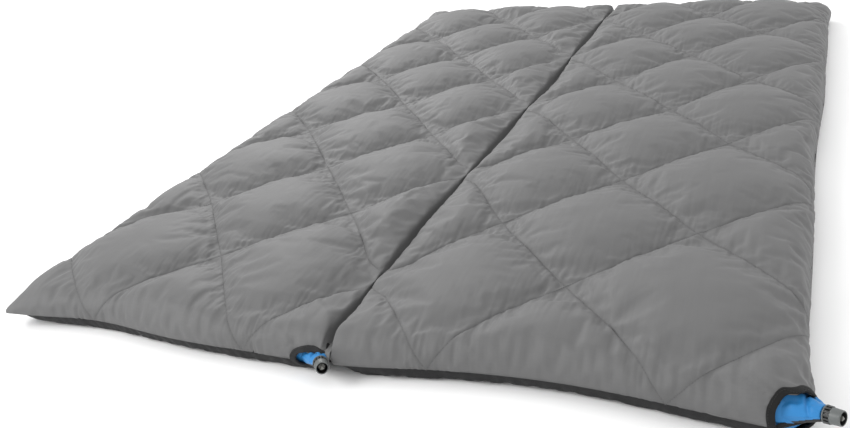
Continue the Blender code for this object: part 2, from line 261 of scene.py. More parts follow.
def bumpTo(tree, shader, height, strength, distance):
    bump = tree.nodes.new("ShaderNodeBump")
    bump.inputs["Strength"].default_value = strength
    bump.inputs["Distance"].default_value = distance
    tree.links.new(height, bump.inputs["Height"])
    tree.links.new(bump.outputs[0], shader.inputs["Normal"])


def clothMaterial(name, color, roughness, threads, weave, mottle, creaseShade=0.0, sheen=0.2,
                  grid=0.005, gridWeight=0.35, mapped=True):
    # woven cloth: weave and heavier threads in the bump, tone that drifts, and creases darkened a little
    # as painted shade
    material, tree, shader = startMaterial(name, roughness, Sheen_Weight=sheen / brightness,
                                           Sheen_Roughness=0.45, Specular_IOR_Level=0.32)
    if mapped:
        place = tree.nodes.new("ShaderNodeUVMap")
        place.uv_map = "cloth"
        vector = place.outputs[0]
    else:
        place = tree.nodes.new("ShaderNodeTexCoord")
        vector = place.outputs["Object"]
    coordinates = tree.nodes.new("ShaderNodeTexCoord").outputs["Object"]
    threadsNode = placeGroup(tree, weaveGroup, vector, Threads=threads, Grid=grid, Grid_Weight=gridWeight)
    tones = placeGroup(tree, mottleGroup, coordinates, Broad_Scale=4.0, Fine_Scale=90.0, Amount=mottle)
    tone = mathNode(tree, "MULTIPLY", threadsNode.outputs["Shade"], tones.outputs["Tone"])
    # painted shade: the colour is darkened where the attribute marks the stitched creases
    if creaseShade:
        shadeMark = tree.nodes.new("ShaderNodeAttribute")
        shadeMark.attribute_name = "creaseShade"
        darker = mathNode(tree, "MULTIPLY_ADD", shadeMark.outputs["Fac"], -creaseShade, 1.0)
        tone = mathNode(tree, "MULTIPLY", tone, darker)
    tree.links.new(tinted(tree, color, tone), shader.inputs["Base Color"])
    rough = mathNode(tree, "MULTIPLY_ADD", tones.outputs["Mask"], 0.12, roughness - 0.06)
    tree.links.new(rough, shader.inputs["Roughness"])
    bumpTo(tree, shader, threadsNode.outputs["Height"], weave, 0.0002)
    return material


def plasticMaterial(name, color, roughness, rub=0.25, grain=0.12):
    material, tree, shader = startMaterial(name, roughness)
    coordinates = tree.nodes.new("ShaderNodeTexCoord").outputs["Object"]
    grainNode = placeGroup(tree, grainGroup, coordinates, Scale=2200.0, Rub=rub)
    tones = placeGroup(tree, mottleGroup, coordinates, Broad_Scale=60.0, Fine_Scale=600.0, Amount=0.12)
    tone = mathNode(tree, "MULTIPLY", grainNode.outputs["Tone"], tones.outputs["Tone"])
    tree.links.new(tinted(tree, color, tone), shader.inputs["Base Color"])
    rough = mathNode(tree, "MULTIPLY_ADD", grainNode.outputs["Rubbed"], -0.12, roughness)
    tree.links.new(rough, shader.inputs["Roughness"])
    bumpTo(tree, shader, grainNode.outputs["Height"], grain, 0.0002)
    return material


finish = {
    # the shell is darkened along its stitched creases as painted shade
    "shell": clothMaterial("shellTaffeta", (0.190, 0.190, 0.191), 0.62, 1600.0, 0.10, 0.12,
                           creaseShade=0.15, sheen=0.12),
    "lining": clothMaterial("liningTaffeta", (0.14, 0.14, 0.145), 0.62, 1400.0, 0.15, 0.12),
    "skirt": clothMaterial("skirtKnit", (0.016, 0.016, 0.017), 0.78, 900.0, 0.5, 0.25, sheen=0.04,
                           gridWeight=0.0),
    "bindingDark": clothMaterial("bindingBlack", (0.006, 0.006, 0.006), 0.72, 1100.0, 0.6, 0.2,
                                 sheen=0.02, grid=0.0012, gridWeight=0.6),
    "bindingGrey": clothMaterial("bindingGrey", (0.020, 0.020, 0.021), 0.72, 1100.0, 0.6, 0.2,
                                 sheen=0.04, grid=0.0012, gridWeight=0.6),
    "webbing": clothMaterial("webbingGrey", (0.25, 0.25, 0.25), 0.66, 700.0, 0.8, 0.2,
                             grid=0.0018, gridWeight=0.7),
    "elastic": clothMaterial("elasticBraid", (0.020, 0.020, 0.020), 0.85, 900.0, 0.8, 0.2,
                             mapped=False),
    "thread": clothMaterial("threadGrey", (0.15, 0.15, 0.152), 0.55, 2500.0, 0.5, 0.1,
                            mapped=False),
    "threadDark": clothMaterial("threadBlack", (0.020, 0.020, 0.020), 0.55, 2500.0, 0.5, 0.1,
                                mapped=False),
    "padTop": clothMaterial("padBlue", (0.035, 0.31, 0.76), 0.48, 1000.0, 0.22, 0.16, sheen=0.1,
                            gridWeight=0.1, mapped=False),
    "padUnder": clothMaterial("padUnderside", (0.022, 0.022, 0.023), 0.66, 900.0, 0.35, 0.2, sheen=0.1,
                              grid=0.006, gridWeight=0.3, mapped=False),
    "valveGrey": plasticMaterial("valveGrey", (0.165, 0.178, 0.176), 0.42),
    "valveBlack": plasticMaterial("valveBlack", (0.018, 0.018, 0.019), 0.45),
    "valveTip": plasticMaterial("valveTip", (0.22, 0.22, 0.20), 0.40),
    "rubber": plasticMaterial("sealRubber", (0.012, 0.012, 0.012), 0.68, rub=0.1, grain=0.3),
}
print("finishes made:", len(finish))


quilt = {
    "cells": 32,             # grid cells to one lattice step
    "quickCells": 12,
    "clothRadius": 0.036,    # outer cloth from the pads' arc centres
    "liningRadius": 0.0325,
    "hemAngle": -8.0,        # degrees above the pad's middle
    "dome": 0.009,           # loft before the cloth is blown up
    "domePower": 0.72,
    "edgeShare": 0.30,       # how much of the loft is left at the hem
    "edgeFade": 0.080,
    "seamFade": 0.050,
    "lineLift": 0.004,       # the stitching rises between its crossings
    "pressure": 1.4,         # of the down against the cloth
    "slack": 0.032,          # spare length of the cloth between the stitching
    "flatShare": 0.45,       # of the cloth beside the seam, the share that lies flat
    "gapWidth": 0.0085,      # half of the wedge at the seam, between the crossings
    "closedWidth": 0.0012,   # what is left of it at the crossings
    "pinchDepth": 0.007,     # depth of the seam where the stitching crosses it
    "wallLean": 0.35,        # how much the wedge narrows downwards
    "wallFoot": 0.85,        # share of the wedge's wall below which it closes to the seam
    "grain": 0.0024,         # unevenness that lets the cloth pucker
    "grainScale": (75, 12),  # puckers run lengthwise
    "clearance": 0.0335,     # least distance of the cloth from the pads' arc centres
    "laidAbove": 0.0015,     # and this much more before it is blown up
    "hemRoom": (0.030, 0.027),   # hem beyond the arc centres, where the loft starts
    "reach": 0.022,          # furthest that a point may be blown
    # painted shade darkens the cloth along the stitching, below this share of a cell's height
    "creaseShadeShare": 0.05,     # share of a cell's height below which the cloth is darker
    "sideways": {"left": 3.1, "right": 7.7},   # so that the two halves crumple differently
}
clothFeel = {"frames": 18, "quality": 5, "mass": 0.12, "tension": 15.0, "shear": 6.0, "bending": 0.10}

# How the quilt has been pulled about: place from the seam's middle, shift, and how far it spreads
settled = [
    ((0.159, -0.608), (-0.018, 0.000, 0.000), 0.12),
    ((0.318, -0.810), (-0.015, 0.000, 0.000), 0.12),
    ((0.318, -0.405), (-0.010, 0.000, 0.000), 0.12),
    ((0.477, -0.608), (-0.009, 0.008, 0.000), 0.12),
    ((0.159, 0.203), (0.012, -0.016, 0.000), 0.14),
    ((0.318, 0.000), (0.011, -0.008, 0.000), 0.12),
    ((0.636, -0.200), (-0.010, 0.000, 0.000), 0.16),
    ((0.000, -0.810), (-0.006, -0.008, -0.010), 0.09),
    ((-0.477, -1.010), (0.016, 0.000, 0.000), 0.10),
    ((-0.159, -1.010), (0.010, 0.000, 0.000), 0.10),
    ((0.159, -1.010), (-0.009, 0.005, 0.000), 0.10),
    ((0.636, -1.010), (0.014, -0.004, 0.000), 0.07),
    ((-0.636, -1.010), (-0.016, -0.010, 0.000), 0.07),
    ((-0.636, 1.010), (-0.018, 0.000, -0.004), 0.12),
    ((0.636, 1.010), (0.004, -0.010, -0.010), 0.08),
    ((0.330, -1.010), (0.000, 0.030, 0.000), 0.13),
    ((-0.500, -1.010), (0.000, 0.026, 0.000), 0.14),
]

# Corners where the cloth closes to a point: place, height of the point, how far it spreads, how much
pinched = [((-0.652, -1.022), 0.034, 0.045, 0.85), ((0.650, 1.030), 0.030, 0.034, 0.75)]


def nearness(points, place, reach):
    # 1 at a place, which is measured from the seam's middle, and less and less away from it
    dx = points[:, 0] - bed["seamX"] - place[0]
    dy = points[:, 1] - bed["middleY"] - place[1]
    return np.exp(-(dx * dx + dy * dy) / (2 * reach * reach))


def settle(points):
    # moves world points as the quilt has been pulled about
    moved = points.copy()
    for place, shift, reach in settled:
        moved += nearness(points, place, reach)[:, None] * np.array(shift)
    for place, height, reach, amount in pinched:
        share = amount * nearness(points, place, reach)
        moved[:, 2] += share * (height - moved[:, 2])
    return moved


def clearOfPads(points, least):
    # points pushed out until they are at least this far from a pad's arc centres
    u = np.abs(points[:, 0] - bed["seamX"])
    v = points[:, 1] - bed["middleY"]
    core = np.stack([np.clip(u, bed["near"], bed["far"]), np.clip(v, -bed["end"], bed["end"]),
                     np.full(len(u), bed["sideRadius"])], -1)
    away = np.stack([u, v, points[:, 2]], -1) - core
    away[:, 2] = np.maximum(away[:, 2], 0)
    distance = np.linalg.norm(away, axis=1)
    close = (distance < least) & (u > bed["near"] / 4) & (points[:, 2] > bed["sideRadius"])
    grow = np.where(close, least / np.maximum(distance, 1e-6), 1)
    placed = core + away * grow[:, None]
    result = points.copy()
    sign = np.sign(points[:, 0] - bed["seamX"])
    result[close] = np.stack([bed["seamX"] + sign * placed[:, 0], bed["middleY"] + placed[:, 1],
                              placed[:, 2]], -1)[close]
    return result


def drape(side, across, along, radius):
    # cloth laid over a pad: distance from the seam and from the middle, as lengths over the pad
    turnX = np.maximum(across - bed["far"], 0)
    turnY = along - np.clip(along, -bed["end"], bed["end"])
    turn = (np.abs(turnX) ** 6 + np.abs(turnY) ** 6) ** (1 / 6) + 1e-9
    angle = math.pi / 2 - turn / quilt["clothRadius"]
    reach = np.cos(angle) / turn
    x = np.clip(across, bed["near"], bed["far"]) + turnX * reach * radius
    y = np.clip(along, -bed["end"], bed["end"]) + turnY * reach * radius
    z = bed["sideRadius"] + radius * np.sin(angle)
    normal = np.stack([turnX * reach, turnY * reach, np.sin(angle)], -1)
    # beside the seam the cloth lies flat up to a narrow wedge, which closes where the stitching crosses
    apart = np.abs(np.sin(math.pi / 2 * along / bed["latticeY"])) ** 0.8
    lip = quilt["gapWidth"] * apart + quilt["closedWidth"]
    bottom = bed["seamHeight"] * apart + (z - quilt["pinchDepth"]) * (1 - apart)
    down = np.clip((bed["near"] - across) / bed["near"], 0, 1)
    flatPart = np.clip(down / quilt["flatShare"], 0, 1)
    wallPart = np.clip((down - quilt["flatShare"]) / (1 - quilt["flatShare"]), 0, 1)
    closing = np.clip((wallPart - quilt["wallFoot"]) / (1 - quilt["wallFoot"]), 0, 1)
    inward = bed["near"] - (bed["near"] - lip) * flatPart
    inward = inward * (1 - quilt["wallLean"] * wallPart) * (1 - closing)
    beside = across < bed["near"]
    x = np.where(beside, inward, x)
    z = np.where(beside, z - (z - bottom) * wallPart ** 1.3, z)
    points = np.stack([bed["seamX"] + sideSign[side] * x, bed["middleY"] + y, z], -1)
    normal[..., 0] *= sideSign[side]
    return points, normal


def flatGrid(cells):
    # lattice numbers and cloth lengths of every grid corner of one half
    columns = np.linspace(0, 4, 4 * cells + 1)
    rows = np.linspace(-5, 5, 10 * cells + 1)
    u, v = np.meshgrid(columns, rows, indexing="ij")
    turned = quilt["clothRadius"] * math.radians(90 - quilt["hemAngle"])
    hemX = bed["far"] + turned
    hemY = bed["end"] + turned
    inner = 3 * bed["latticeX"]
    across = np.where(u <= 3, u * bed["latticeX"], inner + (u - 3) * (hemX - inner))
    rows = np.abs(v)
    last = 4 * bed["latticeY"]
    along = np.sign(v) * np.where(rows <= 4, rows * bed["latticeY"], last + (rows - 4) * (hemY - last))
    return u, v, across, along


opening = {
    "left": {"radius": 0.0255, "heading": -66.0, "center": (-0.028, 0.0, 0.029), "flat": 0.66},
    "right": {"radius": 0.030, "heading": -50.0, "center": (0.004, 0.0, 0.037), "flat": 1.0},
    "back": 0.085,           # how far in from the corner a cut-out reaches
    "seamGap": 0.005,        # cloth that stays beside the seam
    "snap": 0.007,           # edge points this close are drawn onto the outline
}


def openingPlace(side):
    # the cut-out's axis, from the front right corner of a half's cover
    values = opening[side]
    edge = bed["far"] + quilt["clothRadius"] if side == "right" else 0.0
    corner = Vector((bed["seamX"] + edge, bed["middleY"] - bed["end"] - quilt["clothRadius"], 0))
    heading = math.radians(values["heading"])
    return corner + Vector(values["center"]), Vector((math.cos(heading), math.sin(heading), 0))


def fromOpening(side, points):
    # distance from a cut-out's axis, which is lower than it is wide, and the way out from it
    origin, direction = openingPlace(side)
    away = points - np.array(origin)
    depth = away @ np.array(direction)
    radial = away - depth[:, None] * np.array(direction)
    radial[:, 2] /= opening[side]["flat"]
    return depth, radial, np.linalg.norm(radial, axis=1)


def cutOpening(side, points, faces, across=None):
    # takes away the faces inside a cut-out, and draws its edge onto the outline
    depth, radial, distance = fromOpening(side, points)
    radius = opening[side]["radius"]
    inside = (distance < radius) & (depth > -opening["back"])
    if across is not None:
        inside &= across > opening["seamGap"]
    kept, gone = [], set()
    for face in faces:
        if sum(inside[k] for k in face) * 2 <= len(face):
            kept.append(face)
        else:
            gone.update(face)
    edge = sorted(gone & {k for face in kept for k in face})
    for k in edge:
        if abs(distance[k] - radius) < opening["snap"]:
            move = radial[k] * (radius / distance[k] - 1)
            points[k] += move * np.array((1, 1, opening[side]["flat"]))
    return kept, edge


def quiltStart(side, cells):
    # the top cloth of one half before it is blown up
    u, v, across, along = flatGrid(cells)
    points, normal = drape(side, across, along, quilt["clothRadius"])
    first, second = (u + v) / 2, (v - u) / 2
    diamond = np.abs(np.sin(math.pi * first) * np.sin(math.pi * second))
    roomX, roomY = quilt["hemRoom"]
    fromHem = np.minimum(bed["far"] + roomX - across, bed["end"] + roomY - np.abs(along))
    ease = np.clip(np.minimum(fromHem / quilt["edgeFade"], across / quilt["seamFade"]), 0, 1)
    share = quilt["edgeShare"] + (1 - quilt["edgeShare"]) * ease
    loft = quilt["dome"] * diamond ** quilt["domePower"] * share
    loft += quilt["lineLift"] * (1 - np.abs(np.cos(math.pi * u))) * ease
    points = (points + normal * loft[..., None]).reshape(-1, 3)
    laid = clearOfPads(points, quilt["clearance"] + quilt["laidAbove"])
    points = settle(laid)
    shift = points - laid

    across, along = across.ravel(), along.ravel()
    i, j = np.meshgrid(np.arange(u.shape[0]), np.arange(u.shape[1]), indexing="ij")
    middle = 5 * cells
    rising = (i + j - middle) % (2 * cells) == 0
    falling = (j - middle - i) % (2 * cells) == 0
    stitched = rising | falling
    border = np.zeros_like(stitched)
    border[0, :] = border[-1, :] = border[:, 0] = border[:, -1] = True
    scaleX, scaleY = quilt["grainScale"]
    for k in np.nonzero(~(stitched | border).ravel())[0]:
        place = Vector((across[k] * scaleX, along[k] * scaleY, quilt["sideways"][side]))
        points[k, 2] += quilt["grain"] * noise.noise(place)

    width = u.shape[1]
    faces = []
    for a in range(u.shape[0] - 1):
        for b in range(width - 1):
            here, after = a * width + b, (a + 1) * width + b
            corners = (here, after, after + 1, here + 1)
            if falling[a, b] and falling[a + 1, b + 1]:
                faces += [(corners[0], corners[1], corners[2]), (corners[0], corners[2], corners[3])]
            elif rising[a + 1, b] and rising[a, b + 1]:
                faces += [(corners[0], corners[1], corners[3]), (corners[1], corners[2], corners[3])]
            else:
                faces.append(corners)
    if side == "left":
        faces = [face[::-1] for face in faces]
    faces, edge = cutOpening(side, points, faces, across)
    pinned = (stitched | border).ravel() | (across < bed["near"] * quilt["flatShare"])
    pinned[edge] = True
    return {"points": points, "shift": shift, "faces": faces, "pinned": pinned,
            "across": across, "along": along, "stitched": stitched.ravel(), "diamond": diamond.ravel()}


clothJobs = {}


def startCloth(name, start, values):
    item = newObject(f"{name}Cloth", meshFrom(f"{name}Cloth", start["points"], start["faces"]))
    group = item.vertex_groups.new(name="pinned")
    group.add([int(k) for k in np.nonzero(start["pinned"])[0]], 1.0, "REPLACE")
    modifier = item.modifiers.new("cloth", "CLOTH")
    cloth = modifier.settings
    cloth.quality = clothFeel["quality"]
    cloth.mass = clothFeel["mass"]
    cloth.tension_stiffness = clothFeel["tension"]
    cloth.compression_stiffness = clothFeel["tension"]
    cloth.shear_stiffness = clothFeel["shear"]
    cloth.bending_stiffness = clothFeel["bending"]
    cloth.vertex_group_mass = "pinned"
    cloth.use_pressure = True
    cloth.uniform_pressure_force = values["pressure"]
    cloth.shrink_min = -values["slack"]
    cloth.effector_weights.gravity = 0
    modifier.collision_settings.use_collision = False
    modifier.point_cache.frame_end = clothFeel["frames"]
    clothJobs[name] = item


def runCloth():
    # all the cloths are blown up together, a frame at a time
    scene = bpy.context.scene
    for number in range(1, clothFeel["frames"] + 1):
        scene.frame_set(number)
    view = bpy.context.evaluated_depsgraph_get()
    results = {}
    for name, item in clothJobs.items():
        blown = item.evaluated_get(view).data
        points = np.empty(len(blown.vertices) * 3, np.float32)
        blown.vertices.foreach_get("co", points)
        results[name] = points.reshape(-1, 3).astype(float)
    for item in clothJobs.values():
        bpy.data.objects.remove(item)
    scene.frame_set(1)
    return results


def held(start, blown, reach):
    # the blown points, none further than reach from its start
    move = blown - start
    length = np.linalg.norm(move, axis=1)
    return start + move * np.minimum(1, reach / np.maximum(length, 1e-9))[:, None]


def outlineStations(step, cornerSteps):
    # places round a pad on its side's arc centres, each with its outward direction
    inset = bed["padCorner"] - bed["sideRadius"]
    stations = []
    corners = [(bed["far"], bed["end"], 0), (bed["near"], bed["end"], 90),
               (bed["near"], -bed["end"], 180), (bed["far"], -bed["end"], 270)]
    for number, (x, y, start) in enumerate(corners):
        centreX = x + (inset if x == bed["near"] else -inset)
        centreY = y - math.copysign(inset, y)
        for k in range(cornerSteps + 1):
            turn = math.radians(start + 90 * k / cornerSteps)
            way = (math.cos(turn), math.sin(turn))
            stations.append((centreX + inset * way[0], centreY + inset * way[1], *way))
        nextX, nextY, _ = corners[(number + 1) % 4]
        toX = nextX + (inset if nextX == bed["near"] else -inset) + inset * way[0]
        toY = nextY - math.copysign(inset, nextY) + inset * way[1]
        fromX, fromY = stations[-1][:2]
        count = round(math.hypot(toX - fromX, toY - fromY) / step)
        for k in range(1, count):
            share = k / count
            stations.append((fromX + (toX - fromX) * share, fromY + (toY - fromY) * share, *way))
    return np.array(stations)


def aroundPad(side, stations, angle, radius):
    # world points round a pad, at an angle up its side and a radius from the arc centres
    turn = math.radians(angle)
    reach = radius * math.cos(turn)
    x = bed["seamX"] + sideSign[side] * (stations[:, 0] + stations[:, 2] * reach)
    y = bed["middleY"] + stations[:, 1] + stations[:, 3] * reach
    z = np.full(len(stations), bed["sideRadius"] + radius * math.sin(turn))
    return np.stack([x, y, z], -1)


def ringFaces(rings, count, turned):
    # faces between rings of points, from each ring's first number
    faces = []
    for upper, lower in zip(rings, rings[1:]):
        for k in range(count):
            after = (k + 1) % count
            face = (upper + k, upper + after, lower + after, lower + k)
            faces.append(face if turned else face[::-1])
    return faces


skirt = {
    "step": 0.0065,
    "corner": 14,
    "angles": [-13, -18, -24, -30, -36, -42, -48, -54, -60],
    "offset": 0.0030,
    "hemOffset": 0.0036,
    "tuck": 0.005,           # cloth hidden up inside the quilt
    "tuckIn": 0.0016,        # and how far in from the quilt's hem it sits
    "drop": 0.0002,
    "wobble": 0.0011,        # gathers at the elastic
    "gathers": 0.016,        # from one gather to the next
    "uneven": (14, 6.6),     # how often the gathers' spacing drifts along the hem, and how far
    "ruffle": 0.0004,        # how much the gathers lift the cloth
    "thickness": 0.0008,
    "pressure": 1.5,
    "slack": 0.05,
    "reach": 0.005,
    "sink": 0.0012,          # furthest that it may sink towards the pad
    "lowest": 0.0008,
}


def nearestOnLoop(points, loop):
    # for each point, the nearest place on a closed run of points
    step = np.roll(loop, -1, axis=0) - loop
    length = np.maximum((step ** 2).sum(1), 1e-12)
    result = np.empty_like(points)
    for k, point in enumerate(points):
        share = np.clip(((point - loop) * step).sum(1) / length, 0, 1)
        places = loop + step * share[:, None]
        result[k] = places[((places - point) ** 2).sum(1).argmin()]
    return result


def skirtStart(side, hem):
    # the skirt's knit before it is blown up, from the quilt's hem down to the elastic
    stations = outlineStations(skirt["step"], skirt["corner"])
    count = len(stations)
    base = settle(aroundPad(side, stations, quilt["hemAngle"], quilt["clothRadius"]))
    top = nearestOnLoop(base, hem)
    outward = np.stack([sideSign[side] * stations[:, 2], stations[:, 3], np.zeros(count)], -1)
    rings = [top - outward * skirt["tuckIn"] + np.array((0, 0, skirt["tuck"])),
             top - outward * skirt["tuckIn"] / 2 - np.array((0, 0, skirt["drop"]))]
    normals = [outward, outward]
    run = np.concatenate([[0], np.cumsum(np.linalg.norm(np.diff(base, axis=0), axis=1))])
    often, drift = skirt["uneven"]
    wander = [noise.noise(Vector((length * often, quilt["sideways"][side], 0.4))) for length in run]
    wave = np.sin(math.tau * run / skirt["gathers"] + np.array(wander) * drift)
    steps = len(skirt["angles"])
    for number, angle in enumerate(skirt["angles"]):
        share = (number + 1) / steps
        offset = skirt["offset"] + (skirt["hemOffset"] - skirt["offset"]) * share
        ring = settle(aroundPad(side, stations, angle, bed["sideRadius"] + offset))
        ring += (top - base) * (1 - share) ** 1.5
        ring += outward * (skirt["wobble"] * share * wave)[:, None]
        ring[:, 2] += skirt["ruffle"] * share * (wave + 1)
        rings.append(ring)
        turn = math.radians(angle)
        normals.append(outward * math.cos(turn) + np.array((0, 0, math.sin(turn))))
    points = np.concatenate(rings)
    points[:, 2] = np.maximum(points[:, 2], skirt["lowest"])
    faces = ringFaces([k * count for k in range(len(rings))], count, side == "left")
    pinned = np.zeros(len(points), bool)
    pinned[:2 * count] = True
    pinned[-count:] = True
    faces, edge = cutOpening(side, points, faces)
    pinned[edge] = True
    gaps = np.linalg.norm(np.diff(np.array(rings), axis=0), axis=2).mean(axis=1)
    lengths = np.concatenate([[0], np.cumsum(gaps)])
    flat = [(run[k % count], lengths[k // count]) for k in range(len(points))]
    return {"points": points, "faces": faces, "pinned": pinned, "flat": flat,
            "normals": np.concatenate(normals), "length": run[-1], "height": lengths[-1]}


def borderLoop(faces):
    # the longest run of open edges, in order
    ends = {}
    for face in faces:
        for pair in zip(face, face[1:] + face[:1]):
            ends[pair] = True
    following = {a: b for a, b in ends if (b, a) not in ends}
    loops = []
    for first in sorted(following):
        loop = []
        at = first
        while at in following:
            loop.append(at)
            at = following.pop(at)
        loops.append(loop)
    return max(loops, key=len)


cells = quilt["cells"]
starts, skirtStarts = {}, {}
for side in sides:
    starts[side] = quiltStart(side, cells)
    skirtStarts[side] = skirtStart(side, starts[side]["points"][borderLoop(starts[side]["faces"])])
    startCloth(f"{side}Top", starts[side], quilt)
    startCloth(f"{side}Skirt", skirtStarts[side], skirt)
print("cloth laid out:", {side: len(starts[side]["points"]) for side in sides})
blown = runCloth()
print("cloth blown up")


def withMap(mesh, flat):
    # the cloth's own flat lengths, as a UV map
    layer = mesh.uv_layers.new(name="cloth")
    for loop in mesh.loops:
        layer.data[loop.index].uv = flat[loop.vertex_index]


def makeTop(side):
    start = starts[side]
    points = start["points"]
    if f"{side}Top" in blown:
        points = held(points, blown[f"{side}Top"], quilt["reach"])
        points = clearOfPads(points - start["shift"], quilt["clearance"]) + start["shift"]
    mesh = meshFrom(f"{side}_quilted_top", points, start["faces"])
    withMap(mesh, list(zip(start["across"], start["along"])))
    # painted shade along the stitching: full on the lines, gone a little way into each cell
    shadeMark = mesh.attributes.new("creaseShade", "FLOAT", "POINT")
    shadeMark.data.foreach_set("value", np.clip(1 - start["diamond"] / quilt["creaseShadeShare"], 0, 1) ** 2)
    sharp = mesh.attributes.new("crease_edge", "FLOAT", "EDGE")
    loft = mesh.attributes.new("loft", "FLOAT", "POINT")
    loft.data.foreach_set("value", start["diamond"])
    crisp = mesh.attributes.new("sharp_edge", "BOOLEAN", "EDGE")
    stitched = start["stitched"]
    for edge in mesh.edges:
        a, b = edge.vertices
        if stitched[a] and stitched[b]:
            sharp.data[edge.index].value = 1.0
            crisp.data[edge.index].value = True
    item = newObject(f"{side}_quilted_top", mesh)
    subdivided(item)
    applied(item)
    puckerAlong(side, item.data)
    gatherRound(side, item.data)
    closeUnder(side, item)
    # the third finish, the dark skirt knit, is painted shadow on the band under the hem
    for name in ("shell", "lining", "skirt"):
        item.data.materials.append(finish[name])
    item.data.shade_smooth()
    return item


puckers = {
    "scale": (150, 10),      # across and along the quilt
    "depth": 0.0021,
    "rise": 0.03,            # loft at which they have grown to their full depth
    "fade": 0.22,            # and how they fade as it grows further
    "everywhere": 0.10,      # share of the depth that stays all over a cell
    "least": 0.02,
    "leanScale": (9, 5),
    "lean": 1.6,             # how much the folds wander sideways
    "crest": 0.35,
    "valley": 1.6,
    "seamGap": 0.012,
}


def puckerAlong(side, mesh):
    # fine folds that run lengthwise from the stitching
    count = len(mesh.vertices)
    points, normals, loft = np.empty(count * 3), np.empty(count * 3), np.empty(count)
    mesh.vertices.foreach_get("co", points)
    mesh.vertices.foreach_get("normal", normals)
    mesh.attributes["loft"].data.foreach_get("value", loft)
    points, normals = points.reshape(-1, 3), normals.reshape(-1, 3)
    near = np.exp(-loft / puckers["fade"]) * np.clip(loft / puckers["rise"], 0, 1)
    near += puckers["everywhere"] * (loft > puckers["least"])
    wander = quilt["sideways"][side]
    scaleX, scaleY = puckers["scale"]
    leanX, leanY = puckers["leanScale"]
    awayFromSeam = np.abs(points[:, 0] - bed["seamX"]) > puckers["seamGap"]
    for k in np.nonzero((near > puckers["least"]) & awayFromSeam)[0]:
        x, y, _ = points[k]
        lean = noise.noise(Vector((x * leanX, y * leanY, wander))) * puckers["lean"]
        fold = abs(noise.noise(Vector((x * scaleX + lean, y * scaleY, wander + 5))))
        height = puckers["depth"] * near[k] * (puckers["crest"] - puckers["valley"] * fold)
        points[k] += normals[k] * height
    mesh.vertices.foreach_set("co", points.ravel())


gathers = {
    "count": 11,
    "depth": 0.0040,
    "rise": 0.008,           # distance from the edge at which they are deepest
    "fade": 0.030,
    "reach": 0.12,
    "back": 0.09,            # how far in from the corner they go
    "uneven": (1.7, 5),      # how much and how often their spacing changes round the edge
    "deeper": (0.3, 3),      # and their depth
    "lift": 0.6,
}


def gatherRound(side, mesh):
    # folds that run out from the drawn-up edge of the cut-out
    points = np.empty(len(mesh.vertices) * 3)
    mesh.vertices.foreach_get("co", points)
    points = points.reshape(-1, 3)
    depth, radial, distance = fromOpening(side, points)
    beyond = distance - opening[side]["radius"]
    _, direction = openingPlace(side)
    turn = np.arctan2(radial[:, 2], radial @ np.array((-direction.y, direction.x, 0)))
    near = (beyond > 0) & (beyond < gathers["reach"]) & (depth > -gathers["back"])
    risen = np.clip(beyond / gathers["rise"], 0, 1)
    share = np.where(near, np.exp(-beyond / gathers["fade"]) * risen, 0)
    drift, often = gathers["uneven"]
    ripple = np.abs(np.sin(gathers["count"] * turn + drift * np.sin(often * turn)))
    change, often = gathers["deeper"]
    ripple *= 1 - change + change * np.sin(often * turn + 1)
    way = np.array((*direction[:2], gathers["lift"]))
    points += (share * gathers["depth"] * ripple)[:, None] * way
    mesh.vertices.foreach_set("co", points.ravel())


lining = {
    "cells": 8,
    "seamGap": 0.0035,       # beside the seam
    "edge": 0.004,
    "sink": 0.0005,
    "openingGap": 0.016,     # round the cut-out
}


def closeUnder(side, item):
    # the lining: a coarse sheet close over the pad, joined to the top all round its edge by a band in the
    # dark skirt knit, which is painted shadow under the hem
    bm = bmesh.new()
    bm.from_mesh(item.data)
    rim = [edge for edge in bm.edges if edge.is_boundary]
    u, v, across, along = flatGrid(lining["cells"])
    points, _ = drape(side, np.maximum(across, lining["edge"]), along, quilt["liningRadius"])
    width = u.shape[1]
    points[..., 0] += sideSign[side] * lining["seamGap"] * (across < bed["near"])
    points = settle(points.reshape(-1, 3))
    points[:, 2] -= lining["sink"]
    depth, _, distance = fromOpening(side, points)
    blocked = (distance < opening[side]["radius"] + lining["openingGap"]) & (depth > -opening["back"])
    verts = [bm.verts.new(point) for point in points]
    layer = bm.loops.layers.uv.get("cloth")
    faces = []
    for a in range(u.shape[0] - 1):
        for b in range(width - 1):
            here, after = a * width + b, (a + 1) * width + b
            corners = (here, here + 1, after + 1, after)
            if not any(blocked[k] for k in corners):
                face = bm.faces.new([verts[k] for k in corners])
                for loop, k in zip(face.loops, corners):
                    loop[layer].uv = (across.ravel()[k], along.ravel()[k])
                faces.append(face)
    bmesh.ops.delete(bm, geom=[vert for vert in verts if not vert.link_faces], context="VERTS")
    inner = {edge for face in faces for edge in face.edges if edge.is_boundary}
    hemShadowBand = bmesh.ops.bridge_loops(bm, edges=rim + list(inner))
    for face in faces:
        face.material_index = 1
    # the joining band takes the dark skirt knit as painted shadow under the hem
    for face in hemShadowBand["faces"]:
        face.material_index = 2
    bmesh.ops.recalc_face_normals(bm, faces=bm.faces)
    bm.to_mesh(item.data)
    bm.free()


def makeSkirt(side):
    start = skirtStarts[side]
    points = start["points"]
    if f"{side}Skirt" in blown:
        points = held(points, blown[f"{side}Skirt"], skirt["reach"])
        inward = ((points - start["points"]) * start["normals"]).sum(1)
        points -= start["normals"] * np.minimum(inward + skirt["sink"], 0)[:, None]
    points[:, 2] = np.maximum(points[:, 2], skirt["lowest"])
    mesh = meshFrom(f"{side}_skirt_knit", points, start["faces"])
    withMap(mesh, start["flat"])
    item = newObject(f"{side}_skirt_knit", mesh)
    subdivided(item)
    wall = item.modifiers.new("wall", "SOLIDIFY")
    wall.thickness = skirt["thickness"]
    wall.offset = -1
    applied(item)
    item.data.materials.append(finish["skirt"])
    item.data.shade_smooth()
    return item


cord = {"step": 0.02, "corner": 8, "angle": -68.0, "radius": 0.0014, "outline": 8, "lift": 0.0006}


